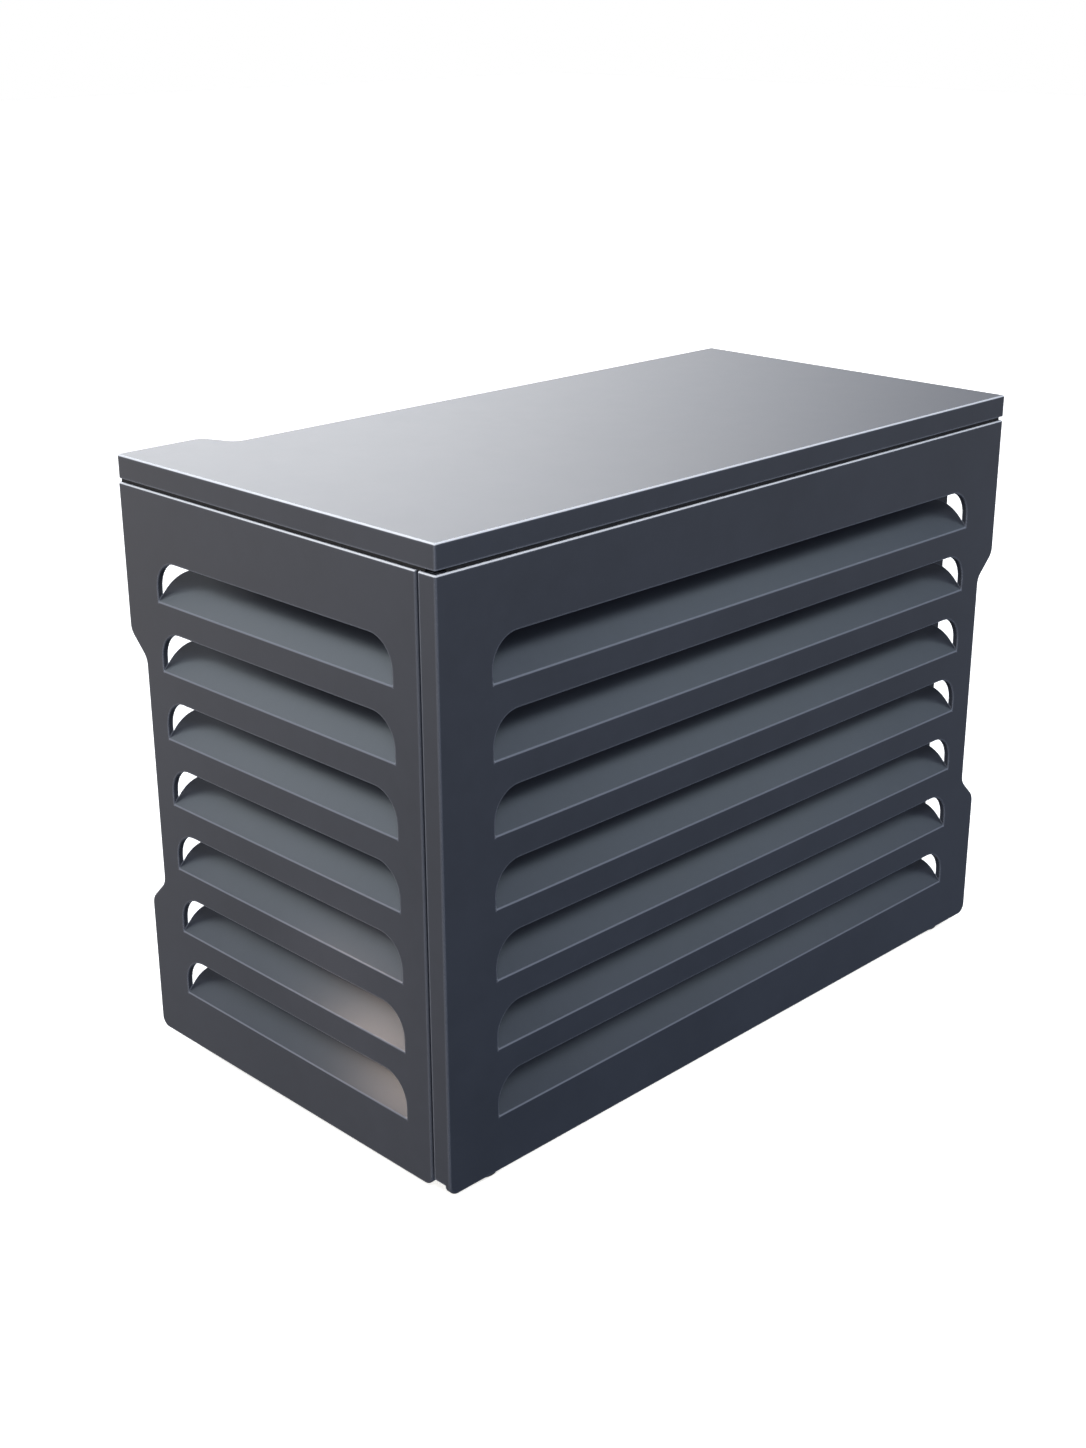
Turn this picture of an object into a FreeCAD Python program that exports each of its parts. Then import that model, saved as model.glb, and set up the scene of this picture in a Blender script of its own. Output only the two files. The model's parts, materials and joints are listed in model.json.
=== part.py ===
import FreeCAD, Part
import math
import os

V = FreeCAD.Vector

# Louvred corner housing for an outdoor standby power unit. Millimetres, +Z up.
# Origin: centre of the overall box on the ground. The long louvred panel faces -Y, the short one -X,
# and the housing is open towards +X and +Y, where it stands against walls.

# Overall sizes
WIDTH = 1100.0  # along X, over the long panel
DEPTH = 604.0  # along Y, over the short panel and the lid's full-depth tab
PANEL_HEIGHT = 787.0
GROUND_CLEARANCE = 6.0  # from the ground to the panels' lower edges
LID_GAP = 5.5  # shadow gap between the panels and the lid's rim
LID_RIM = 30.5  # height of the lid's down-turned rim

# Sheet metal
SHEET = 1.5
PANEL_DEPTH = 8.0  # depth of the panels' turned-in edges and of the rims round the slots
SEAM_FLANGE = 27.5  # width of the long panel's return flange on the short side
SEAM_GAP = 5.0  # between that flange and the short panel
BOTTOM_CORNER_R = 14.0
CORNER_BEND_R = 2.0
EDGE_R = 1.2
TOP_BEND_R = 2.5  # along the panels' upper edges

# Notch in each panel's free edge
NOTCH_DEPTH = 32.0
NOTCH_LOW = 200.0  # height of the lower ramp's outer corner above the panel's lower edge
NOTCH_HIGH = 588.0  # height of the upper ramp's outer corner
NOTCH_R = 22.0

# Louvres
SLOT_COUNT = 7
SLOT_HEIGHT = 56.0
SLOT_PITCH = 94.0
SLOT_FIRST = 78.0  # height of the lowest slot's lower edge above the panel's lower edge
SLOT_R = 39.0
SLOT_CORNER_MARGIN_LONG = 84.0  # from the near corner to the long panel's slots
SLOT_FREE_MARGIN_LONG = 75.5  # from the long panel's slots to its free edge
SLOT_CORNER_MARGIN_SHORT = 76.5
SLOT_FREE_MARGIN_SHORT = 70.5
BLADE_ANGLE = 42.0  # degrees from upright, leaning inwards
BLADE_BEND_R = 3.0  # outer radius of the fold at the slot's lower edge
FOLD_DROP = 2.0  # how far below the slot's edge the fold's own piece of sheet starts

# Lid
LID_RECESS = 51.0  # depth of the recess in the rear edge
LID_TAB = 140.0  # from the left edge to the middle of the recess's ramp
LID_RAMP = 20.0  # run of that ramp along X
LID_RAMP_R = 20.0
LID_EDGE_R = 2.5
LID_REAR_CORNER_R = 5.0
LID_LIP = 8.0  # inward return at the rim's lower edge

# Frame of square tube
TUBE = 30.0
TUBE_WALL = 2.0
TUBE_R = 3.0
PANEL_STANDOFF = 4.0  # from the panels' turned-in edges to the frame
BOTTOM_RAIL_Z = 30.0  # underside of the bottom rails
TOP_RAIL_SINK = 1.0  # from the panels' upper edges down to the top rails, which close the shadow gap
RIGHT_POST_INSET = 75.0  # from the front plane to the front right post
LEFT_POST_INSET = 80.0  # from the left plane to the rear left post
CAP_FLANGE = 1.8
CAP_PLUG = 12.0
CAP_CLEARANCE = 0.4

# Brackets and screws
BRACKET_LEG = 35.0
BRACKET_T = 3.0
BRACKET_WIDTH = 24.0
SCREW_OFFSET = 22.0  # from a bracket's inner corner to its screw
SCREW_R = 2.4
SCREW_HEAD_R = 4.5
SCREW_HEAD_H = 2.6
SCREW_SOCKET_R = 1.4
SCREW_REACH = 6.0  # shank length beyond the bracket
HOLE_CLEARANCE = 0.1
CUT_OVERRUN = 1.0  # how far a cutting tool runs past the faces it cuts
WALL_BRACKET_HEIGHT = 90.0
WALL_BRACKET_DROP = 72.0  # from the underside of the top rails to the wall brackets
WALL_FLANGE = 40.0
WALL_SLOT_SPACING = 60.0
WALL_SLOT_R = 3.5
WALL_SLOT_LENGTH = 16.0

# Push-in panel studs and their sockets
STUD_MARGIN = 130.0  # from the long panel's ends to its outer studs
SIDE_STUD_FRONT = 130.0  # from the front plane to the short panel's front studs
SIDE_STUD_REAR = 111.0  # from the frame's rear face to the short panel's rear studs
STUD_BASE_R = 9.0
STUD_BASE_T = 2.0
STUD_NECK_R = 2.5
STUD_BALL_R = 4.0
STUD_REACH = 14.0  # from the panel's outer face to the ball's centre
SOCKET_FLANGE_R = 11.0
SOCKET_FLANGE_T = 2.0
SOCKET_SPIGOT_R = 6.0
SOCKET_SPIGOT_L = 9.0
SOCKET_FLOOR = 2.0
BALL_CLEARANCE = 0.3
SNAP_CLEARANCE = 0.05

# Panel ribs
RIB_T = 3.0
RIB_CLEARANCE = 2.0  # least gap from the blades' tips to the ribs' spines, before rounding up
RIB_SPINE = 9.0
RIB_FINGER_GAP = 1.5
RIB_END_GAP = 4.0  # from the rib's ends to the rails

# Lid channels, pegs and sockets
CHANNEL_INSET = 180.0
CHANNEL_WIDTH = 40.0
CHANNEL_HEIGHT = 20.0
CHANNEL_END_GAP = 2.5
PEG_R = 5.0
PEG_LENGTH = 18.0
PEG_TIP_R = 2.5
PEG_HEAD_R = 9.0
PEG_HEAD_T = 3.0
LID_SOCKET_R = 10.0
LID_SOCKET_FLANGE_R = 14.5
LID_SOCKET_FLANGE_T = 3.0
LID_SOCKET_SPIGOT_R = 7.0
LID_SOCKET_SPIGOT_L = 8.0
LID_SEAT_GAP = 0.3

# Levelling feet
FOOT_INSET = 75.0  # from the left and right planes to the feet
FOOT_PAD_R = 22.0
FOOT_PAD_RIM = 4.0
FOOT_HUB_R = 10.0
FOOT_PAD_H = 14.0
FOOT_STEM_R = 5.0
FOOT_STEM_SEAT = 8.0
FOOT_STEM_TOP = 52.0
FOOT_STEM_CHAMFER = 1.0
FOOT_HEX_AF = 13.0
FOOT_HEX_H = 5.0
NUT_AF = 17.0
NUT_H = 6.0
INSERT_R = 7.0
INSERT_L = 14.0
INSERT_FLANGE_R = 10.0
INSERT_FLANGE_T = 2.0
THREAD_CLEARANCE = 0.05

# Planes that follow from the sizes above
LEFT, RIGHT = -WIDTH / 2, WIDTH / 2
FRONT, REAR = -DEPTH / 2, DEPTH / 2
PANEL_TOP = GROUND_CLEARANCE + PANEL_HEIGHT
LID_BOTTOM = PANEL_TOP + LID_GAP
LID_TOP = LID_BOTTOM + LID_RIM
LID_REAR = REAR - LID_RECESS
FRAME_INSET = PANEL_DEPTH + PANEL_STANDOFF
FRAME_LEFT, FRAME_RIGHT = LEFT + FRAME_INSET, RIGHT - FRAME_INSET
FRAME_FRONT, FRAME_REAR = FRONT + FRAME_INSET, LID_REAR - FRAME_INSET
BOTTOM_RAIL_TOP = BOTTOM_RAIL_Z + TUBE
TOP_RAIL_Z = PANEL_TOP - TOP_RAIL_SINK - TUBE
TOP_RAIL_TOP = TOP_RAIL_Z + TUBE
WALL_BRACKET_Z = TOP_RAIL_Z - WALL_BRACKET_DROP - WALL_BRACKET_HEIGHT
STUD_HEIGHTS = (BOTTOM_RAIL_Z + TUBE / 2, TOP_RAIL_Z + TUBE / 2)
LONG_STUDS = (LEFT + STUD_MARGIN, 0.0, RIGHT - STUD_MARGIN)
SHORT_STUDS = (FRONT + SIDE_STUD_FRONT, FRAME_REAR - SIDE_STUD_REAR)
BLADE_LEAN = math.radians(BLADE_ANGLE)
BLADE_REACH = SLOT_HEIGHT * math.sin(BLADE_LEAN) + SHEET * math.cos(BLADE_LEAN)
RIB_FRONT = math.ceil(BLADE_REACH + RIB_CLEARANCE)  # from the panel's outer face to the rib's spine
CHANNEL_Z = LID_TOP - SHEET - CHANNEL_HEIGHT
CHANNEL_CENTRES = (LEFT + CHANNEL_INSET, RIGHT - CHANNEL_INSET)
RAIL_LINES = (FRAME_FRONT + TUBE / 2, FRAME_REAR - TUBE / 2)
FOOT_PLACES = {
    "front_left": (LEFT + FOOT_INSET, RAIL_LINES[0]),
    "front_right": (RIGHT - FOOT_INSET, RAIL_LINES[0]),
    "rear_left": (LEFT + FOOT_INSET, RAIL_LINES[1]),
    "rear_right": (RIGHT - FOOT_INSET, RAIL_LINES[1]),
}

# Lower left corner of each post in plan, and the way its angle brackets point along the rail
POSTS = {
    "corner_post": (FRAME_LEFT, FRAME_FRONT, V(1, 0, 0)),
    "front_right_post": (FRAME_RIGHT - TUBE, FRONT + RIGHT_POST_INSET, V(0, 1, 0)),
    "rear_left_post": (LEFT + LEFT_POST_INSET, FRAME_REAR - TUBE, V(1, 0, 0)),
    "rear_right_post": (FRAME_RIGHT - TUBE, FRAME_REAR - TUBE, V(-1, 0, 0)),
}


def box(low, high):
    """Block between two opposite corners."""
    size = [b - a for a, b in zip(low, high)]
    return Part.makeBox(size[0], size[1], size[2], V(*low))


def cylinder(radius, start, direction, length):
    """Cylinder from a point along a direction."""
    return Part.makeCylinder(radius, length, start, direction)


def rounded_wire(corners, place):
    """Closed wire through corners (a, b, radius), each rounded by an arc; place turns (a, b) into a point."""
    edges = []
    ends = []
    for i, (a, b, radius) in enumerate(corners):
        here = V(a, b, 0)
        before = V(*corners[i - 1][:2], 0) - here
        after = V(*corners[(i + 1) % len(corners)][:2], 0) - here
        before.normalize()
        after.normalize()
        if not radius:
            ends.append((here, None, here))
            continue
        half = before.getAngle(after) / 2
        bisector = (before + after).normalize()
        middle = here + bisector * (radius / math.sin(half) - radius)
        reach = radius / math.tan(half)
        ends.append((here + before * reach, middle, here + after * reach))
    for i, (start, middle, end) in enumerate(ends):
        if middle:
            edges.append(Part.Arc(place(start), place(middle), place(end)).toShape())
        following = ends[(i + 1) % len(ends)][0]
        edges.append(Part.LineSegment(place(end), place(following)).toShape())
    return Part.Wire(edges)


def upright(point):
    """A plan point (a, b) as a point on the front plane of a panel, across and up."""
    return V(point.x, 0, point.y)


def plate(corners, start, depth):
    """Upright plate with a rounded outline, from start to start + depth along Y."""
    face = Part.Face(rounded_wire(corners, upright))
    face.translate(V(0, start, 0))
    return face.extrude(V(0, depth, 0))


def on_plane(edge, axis, value):
    """True if an edge lies on the plane where the axis has the value."""
    return all(abs(getattr(v.Point, axis) - value) < 1e-6 for v in edge.Vertexes)


def shrunk(corners, place, distance):
    """Face of a rounded outline moved inwards by a distance."""
    return Part.Face(Part.Face(rounded_wire(corners, place)).makeOffset2D(-distance).OuterWire)


def slot_heights():
    """Lower edges of the slots above the panel's lower edge."""
    return [SLOT_FIRST + i * SLOT_PITCH for i in range(SLOT_COUNT)]


def slot_corners(start, end, low, grow, drop):
    """Outline of a slot: square lower corners, round upper ones, grown by the sheet where it is a rim."""
    high = low + SLOT_HEIGHT + grow
    radius = SLOT_R + grow
    return [
        (start - grow, low - drop, 0),
        (end + grow, low - drop, 0),
        (end + grow, high, radius),
        (start - grow, high, radius),
    ]


def blade(start, end, low):
    """The slot's cut-out, folded inwards about the slot's lower edge and leaning back."""
    inner_r = BLADE_BEND_R - SHEET
    reach = BLADE_BEND_R * math.tan(BLADE_LEAN / 2)
    centre = V(0, BLADE_BEND_R, low - reach)

    def on_bend(radius, angle):
        return centre + V(0, -radius * math.cos(angle), radius * math.sin(angle))

    foot = low - FOLD_DROP
    section = Part.Wire(
        [
            Part.LineSegment(V(0, 0, foot), on_bend(BLADE_BEND_R, 0)).toShape(),
            Part.Arc(*[on_bend(BLADE_BEND_R, BLADE_LEAN * t) for t in (0, 0.5, 1)]).toShape(),
            Part.LineSegment(on_bend(BLADE_BEND_R, BLADE_LEAN), on_bend(inner_r, BLADE_LEAN)).toShape(),
            Part.Arc(*[on_bend(inner_r, BLADE_LEAN * t) for t in (1, 0.5, 0)]).toShape(),
            Part.LineSegment(on_bend(inner_r, 0), V(0, SHEET, foot)).toShape(),
            Part.LineSegment(V(0, SHEET, foot), V(0, 0, foot)).toShape(),
        ]
    )
    fold = Part.Face(section).extrude(V(end - start, 0, 0))
    fold.translate(V(start, 0, 0))
    corners = slot_corners(start, end, 0, 0, 0)
    corners[0] = (start, reach, 0)
    corners[1] = (end, reach, 0)
    leaf = plate(corners, 0, SHEET)
    leaf.rotate(V(0, 0, 0), V(1, 0, 0), -BLADE_ANGLE)
    leaf.translate(V(0, 0, low))
    return fold.fuse(leaf)


def panel_corners(length):
    """Outline of a louvred panel, with the notched free edge at the far end."""
    waist = length - NOTCH_DEPTH
    return [
        (0, 0, BOTTOM_CORNER_R),
        (length, 0, BOTTOM_CORNER_R),
        (length, NOTCH_LOW, NOTCH_R),
        (waist, NOTCH_LOW + NOTCH_DEPTH, NOTCH_R),
        (waist, NOTCH_HIGH - NOTCH_DEPTH, NOTCH_R),
        (length, NOTCH_HIGH, NOTCH_R),
        (length, PANEL_HEIGHT, CORNER_BEND_R),
        (0, PANEL_HEIGHT, 0),
    ]


def louvred_panel(length, slot_start, slot_end, flange):
    """Pressed panel in its own frame: outer face on y = 0, from x = 0 to its notched free edge."""
    corners = panel_corners(length)
    body = plate(corners, 0, PANEL_DEPTH)
    hollow = shrunk(corners, upright, SHEET)
    hollow.translate(V(0, SHEET, 0))
    hollow = hollow.extrude(V(0, PANEL_DEPTH, 0))
    if flange:
        low = BOTTOM_CORNER_R
        body = body.fuse(box((0, 0, low), (PANEL_DEPTH, flange, PANEL_HEIGHT)))
        inside = (PANEL_DEPTH + SHEET, flange - SHEET, PANEL_HEIGHT - SHEET)
        hollow = hollow.fuse(box((SHEET, SHEET, low + SHEET), inside))
    body = body.cut(hollow)
    lows = slot_heights()
    rims = [plate(slot_corners(slot_start, slot_end, z, SHEET, FOLD_DROP), 0, PANEL_DEPTH) for z in lows]
    holes = [
        plate(slot_corners(slot_start, slot_end, z, 0, FOLD_DROP), -SHEET, PANEL_DEPTH + 2 * SHEET)
        for z in lows
    ]
    body = body.fuse(rims).cut(Part.makeCompound(holes)).removeSplitter()
    outside = ("x", "y") if flange else ("y",)
    top = [
        e
        for e in body.Edges
        if on_plane(e, "z", PANEL_HEIGHT) and any(on_plane(e, axis, 0.0) for axis in outside)
    ]
    body = body.makeFillet(TOP_BEND_R, top)
    feet = {round(z - FOLD_DROP, 3) for z in lows}
    rounded = [
        e
        for e in body.Edges
        if on_plane(e, "y", 0.0)
        and not any(on_plane(e, "z", foot) for foot in feet)
        and not on_plane(e, "z", PANEL_HEIGHT - TOP_BEND_R)
    ]
    body = body.makeFillet(EDGE_R, rounded)
    blades = [blade(slot_start, slot_end, z) for z in lows]
    return body.fuse(blades).removeSplitter()


def front_panel():
    """Long panel with the flange that wraps the near corner."""
    panel = louvred_panel(WIDTH, SLOT_CORNER_MARGIN_LONG, WIDTH - SLOT_FREE_MARGIN_LONG, SEAM_FLANGE)
    panel.translate(V(LEFT, FRONT, GROUND_CLEARANCE))
    return panel


def side_start():
    """Distance from the front plane to the short panel's front edge."""
    return SEAM_FLANGE + SEAM_GAP


def to_side(shape):
    """Moves a shape from a panel's own frame to the short side: across becomes +Y and inwards +X."""
    turned = shape.mirror(V(0, 0, 0), V(1, -1, 0))
    turned.translate(V(LEFT, FRONT + side_start(), GROUND_CLEARANCE))
    return turned


def side_panel():
    """Short panel, mirrored about the near corner's diagonal."""
    start = SLOT_CORNER_MARGIN_SHORT - side_start()
    end = DEPTH - SLOT_FREE_MARGIN_SHORT - side_start()
    return to_side(louvred_panel(DEPTH - side_start(), start, end, 0))


def panel_rib(across):
    """Comb-shaped rib in a panel's own frame: its fingers are welded to the strips between the slots."""
    low = BOTTOM_RAIL_TOP + RIB_END_GAP - GROUND_CLEARANCE
    high = TOP_RAIL_Z - RIB_END_GAP - GROUND_CLEARANCE
    sides = (across - RIB_T / 2, across + RIB_T / 2)
    spine = box((sides[0], RIB_FRONT, low), (sides[1], RIB_FRONT + RIB_SPINE, high))
    floors = [low] + [z + SLOT_HEIGHT + SHEET + RIB_FINGER_GAP for z in slot_heights()]
    roofs = [z - FOLD_DROP - RIB_FINGER_GAP for z in slot_heights()] + [high]
    fingers = [
        box((sides[0], SHEET, floor), (sides[1], RIB_FRONT, roof))
        for floor, roof in zip(floors, roofs)
    ]
    return spine.fuse(fingers).removeSplitter()


def front_rib(share):
    """Rib behind the long panel, at a share of its slots' length."""
    slots = WIDTH - SLOT_CORNER_MARGIN_LONG - SLOT_FREE_MARGIN_LONG
    rib = panel_rib(SLOT_CORNER_MARGIN_LONG + share * slots)
    rib.translate(V(LEFT, FRONT, GROUND_CLEARANCE))
    return rib


def side_rib():
    """Rib in the middle of the short panel's slots."""
    slots = DEPTH - SLOT_CORNER_MARGIN_SHORT - SLOT_FREE_MARGIN_SHORT
    return to_side(panel_rib(SLOT_CORNER_MARGIN_SHORT + slots / 2 - side_start()))


def stud(face_point, inwards):
    """Ball stud welded to the back of a panel's sheet."""
    base = cylinder(STUD_BASE_R, face_point + inwards * SHEET, inwards, STUD_BASE_T)
    neck = cylinder(STUD_NECK_R, face_point + inwards * SHEET, inwards, STUD_REACH - SHEET)
    ball = Part.makeSphere(STUD_BALL_R, face_point + inwards * STUD_REACH)
    return base.fuse([neck, ball]).removeSplitter()


def socket(face_point, inwards):
    """Snap-in socket in a rail's outer wall, which a ball stud pushes into."""
    seat = face_point + inwards * FRAME_INSET
    flange = cylinder(SOCKET_FLANGE_R, seat - inwards * SOCKET_FLANGE_T, inwards, SOCKET_FLANGE_T)
    spigot = cylinder(SOCKET_SPIGOT_R, seat, inwards, SOCKET_SPIGOT_L)
    bore_length = SOCKET_FLANGE_T + SOCKET_SPIGOT_L - SOCKET_FLOOR
    bore = cylinder(STUD_BALL_R + BALL_CLEARANCE, seat - inwards * SOCKET_FLANGE_T, inwards, bore_length)
    return flange.fuse(spigot).cut(bore)


def stud_places():
    """Points on the outer faces where the studs sit, with the way inwards, for the long and short panels."""
    long_side = [(V(x, FRONT, z), V(0, 1, 0)) for x in LONG_STUDS for z in STUD_HEIGHTS]
    short_side = [(V(LEFT, y, z), V(1, 0, 0)) for y in SHORT_STUDS for z in STUD_HEIGHTS]
    return long_side, short_side


def lid():
    """Folded tray with a recessed rear edge, a full-depth tab at its left and a lip round its rim."""
    ramp = LEFT + LID_TAB
    corners = [
        (LEFT, FRONT, CORNER_BEND_R),
        (RIGHT, FRONT, CORNER_BEND_R),
        (RIGHT, LID_REAR, LID_REAR_CORNER_R),
        (ramp + LID_RAMP / 2, LID_REAR, LID_RAMP_R),
        (ramp - LID_RAMP / 2, REAR, LID_RAMP_R),
        (LEFT, REAR, LID_REAR_CORNER_R),
    ]

    def flat(point):
        return V(point.x, point.y, LID_BOTTOM)

    body = Part.Face(rounded_wire(corners, flat)).extrude(V(0, 0, LID_RIM))
    body = body.makeFillet(LID_EDGE_R, [e for e in body.Edges if on_plane(e, "z", LID_TOP)])
    mouth = shrunk(corners, flat, SHEET + LID_LIP).extrude(V(0, 0, LID_RIM - SHEET))
    inside = shrunk(corners, flat, SHEET)
    inside.translate(V(0, 0, SHEET))
    inside = inside.extrude(V(0, 0, LID_RIM - 2 * SHEET))
    return body.cut(inside.fuse(mouth))


def lid_channel(centre):
    """U-shaped channel under the lid's top, open upwards, which carries two pegs."""
    start = FRONT + SHEET + LID_LIP + CHANNEL_END_GAP
    end = LID_REAR - SHEET - LID_LIP - CHANNEL_END_GAP
    sides = (centre - CHANNEL_WIDTH / 2, centre + CHANNEL_WIDTH / 2)
    outer = box((sides[0], start, CHANNEL_Z), (sides[1], end, LID_TOP - SHEET))
    inner = box((sides[0] + SHEET, start, CHANNEL_Z + SHEET), (sides[1] - SHEET, end, LID_TOP - SHEET))
    channel = outer.cut(inner)
    for y in RAIL_LINES:
        channel = channel.cut(cylinder(PEG_R, V(centre, y, CHANNEL_Z), V(0, 0, 1), SHEET))
    return channel


def lid_pegs():
    """Round pegs through the channels, headed inside them, that locate the lid on the frame."""
    pegs = []
    for x in CHANNEL_CENTRES:
        for y in RAIL_LINES:
            foot = CHANNEL_Z - PEG_LENGTH
            shank = cylinder(PEG_R, V(x, y, foot), V(0, 0, 1), PEG_LENGTH + SHEET)
            shank = shank.makeFillet(PEG_TIP_R, [e for e in shank.Edges if on_plane(e, "z", foot)])
            head = cylinder(PEG_HEAD_R, V(x, y, CHANNEL_Z + SHEET), V(0, 0, 1), PEG_HEAD_T)
            pegs.append(shank.fuse(head).removeSplitter())
    return Part.makeCompound(pegs)


def lid_socket(x, y):
    """Stepped socket snapped into a top rail: it carries the lid's channel and guides its peg."""
    up = V(0, 0, 1)
    top = CHANNEL_Z - LID_SEAT_GAP
    tower = cylinder(LID_SOCKET_R, V(x, y, TOP_RAIL_TOP), up, top - TOP_RAIL_TOP)
    flange = cylinder(LID_SOCKET_FLANGE_R, V(x, y, TOP_RAIL_TOP), up, LID_SOCKET_FLANGE_T)
    spigot = cylinder(LID_SOCKET_SPIGOT_R, V(x, y, TOP_RAIL_TOP - LID_SOCKET_SPIGOT_L), up, LID_SOCKET_SPIGOT_L)
    depth = PEG_LENGTH + SOCKET_FLOOR
    bore = cylinder(PEG_R + BALL_CLEARANCE, V(x, y, top - depth), up, depth)
    return tower.fuse([flange, spigot]).cut(bore).removeSplitter()


def tube(start, end):
    """Square tube with rounded corners between two points along one axis, given by its lower edge corner."""
    run = end - start
    length = run.Length
    radii = (TUBE_R, TUBE_R - TUBE_WALL)

    def square(inset, radius):
        far = TUBE - inset
        return [(inset, inset, radius), (far, inset, radius), (far, far, radius), (inset, far, radius)]

    sections = [plate(square(i, r), 0, length) for i, r in zip((0, TUBE_WALL), radii)]
    body = sections[0].cut(sections[1])
    if abs(run.x) > 0:
        body.rotate(V(TUBE / 2, 0, 0), V(0, 0, 1), -90)
        body.translate(V(-TUBE / 2, TUBE / 2, 0))
    elif abs(run.z) > 0:
        body.rotate(V(0, 0, 0), V(1, 0, 0), 90)
        body.translate(V(0, TUBE, 0))
    body.translate(start)
    return body


def rails():
    """The two rings of rails: name to start and end of each tube's lower left edge."""
    found = {}
    sides = (("left", FRAME_LEFT), ("right", FRAME_RIGHT - TUBE))
    lines = (("front", FRAME_FRONT), ("rear", FRAME_REAR - TUBE))
    for level, z in (("top", TOP_RAIL_Z), ("bottom", BOTTOM_RAIL_Z)):
        for name, y in lines:
            found[f"{name}_{level}_rail"] = (V(FRAME_LEFT, y, z), V(FRAME_RIGHT, y, z))
        for name, x in sides:
            start, end = V(x, FRAME_FRONT + TUBE, z), V(x, FRAME_REAR - TUBE, z)
            found[f"{name}_{level}_rail"] = (start, end)
    return found


def tube_end_caps():
    """Plastic plugs in the open ends of the front and rear rails."""
    caps = []
    inset = TUBE_WALL + CAP_CLEARANCE
    for name, (start, end) in rails().items():
        if not name.startswith(("front", "rear")):
            continue
        for face, out in ((start.x, -1), (end.x, 1)):
            reach = sorted((face, face + out * CAP_FLANGE))
            plug = sorted((face, face - out * CAP_PLUG))
            flange = box((reach[0], start.y, start.z), (reach[1], start.y + TUBE, start.z + TUBE))
            low = (plug[0], start.y + inset, start.z + inset)
            high = (plug[1], start.y + TUBE - inset, start.z + TUBE - inset)
            caps.append(flange.fuse(box(low, high)))
    return Part.makeCompound(caps)


def angle_bracket(corner, first, second, across):
    """Angle bracket at an inner corner, with legs along first and second, centred across the third way."""

    def leg(along, other):
        ends = (
            corner - across * (BRACKET_WIDTH / 2),
            corner + along * BRACKET_LEG + other * BRACKET_T + across * (BRACKET_WIDTH / 2),
        )
        low = [min(getattr(p, a) for p in ends) for a in "xyz"]
        high = [max(getattr(p, a) for p in ends) for a in "xyz"]
        return box(low, high)

    return leg(first, second).fuse(leg(second, first)).removeSplitter()


def bracket_places():
    """Every angle bracket as (inner corner, first leg, second leg, across)."""
    places = []
    up = V(0, 0, 1)
    for x, y, way in POSTS.values():
        centre = V(x + TUBE / 2, y + TUBE / 2, 0) + way * (TUBE / 2)
        across = up.cross(way)
        places.append((centre + up * BOTTOM_RAIL_TOP, up, way, across))
        places.append((centre + up * TOP_RAIL_Z, -up, way, across))
    for z in STUD_HEIGHTS:
        for x, along_x in ((FRAME_LEFT + TUBE, 1), (FRAME_RIGHT - TUBE, -1)):
            for y, along_y in ((FRAME_FRONT + TUBE, 1), (FRAME_REAR - TUBE, -1)):
                places.append((V(x, y, z), V(along_x, 0, 0), V(0, along_y, 0), up))
    return places


def wall_bracket(post, way, outwards):
    """Wall bracket on a post: a web on the post's side and a flange with two slots against the wall.

    way is the side of the post that the web lies on, and outwards points at the wall.
    """
    x, y, _ = POSTS[post]
    centre = V(x + TUBE / 2, y + TUBE / 2, 0)
    wall = REAR if outwards.y else RIGHT
    reach = wall - (outwards.y * centre.y + outwards.x * centre.x)
    web_face = centre + way * (TUBE / 2)
    bottom = V(0, 0, WALL_BRACKET_Z)
    top = V(0, 0, WALL_BRACKET_Z + WALL_BRACKET_HEIGHT)

    def block(p, q):
        low = [min(getattr(p, a), getattr(q, a)) for a in "xyz"]
        high = [max(getattr(p, a), getattr(q, a)) for a in "xyz"]
        return box(low, high)

    near = web_face - outwards * (TUBE / 2)
    web = block(near + bottom, web_face + way * BRACKET_T + outwards * reach + top)
    wall_edge = web_face + outwards * reach
    flange = block(wall_edge + bottom, wall_edge + way * WALL_FLANGE - outwards * BRACKET_T + top)
    bracket = web.fuse(flange)
    for slot_z in wall_slot_heights():
        half = (WALL_SLOT_LENGTH - 2 * WALL_SLOT_R) / 2
        middle = wall_edge + way * (WALL_FLANGE + BRACKET_T) / 2 + V(0, 0, slot_z)
        start = middle - outwards * (BRACKET_T + CUT_OVERRUN)
        through = BRACKET_T + 2 * CUT_OVERRUN
        ends = [cylinder(WALL_SLOT_R, start + V(0, 0, dz), outwards, through) for dz in (-half, half)]
        sideways = way * WALL_SLOT_R
        bar = block(
            start - sideways - V(0, 0, half),
            start + sideways + V(0, 0, half) + outwards * through,
        )
        bracket = bracket.cut(ends[0].fuse([ends[1], bar]))
    return bracket.removeSplitter()


def wall_slot_heights():
    """Centres of a wall bracket's two slots."""
    middle = WALL_BRACKET_Z + WALL_BRACKET_HEIGHT / 2
    return (middle - WALL_SLOT_SPACING / 2, middle + WALL_SLOT_SPACING / 2)


WALL_BRACKETS = {
    "rear_left_wall_bracket": ("rear_left_post", V(1, 0, 0), V(0, 1, 0)),
    "rear_right_wall_bracket": ("rear_right_post", V(-1, 0, 0), V(0, 1, 0)),
    "right_front_wall_bracket": ("front_right_post", V(0, 1, 0), V(1, 0, 0)),
    "right_rear_wall_bracket": ("rear_right_post", V(0, -1, 0), V(1, 0, 0)),
}


def bracket_screw_axes():
    """Screws of the angle brackets: point on the tube's face and the way into the tube."""
    axes = []
    for corner, first, second, _ in bracket_places():
        axes.append((corner + first * SCREW_OFFSET, -second))
        axes.append((corner + second * SCREW_OFFSET, -first))
    return axes


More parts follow.
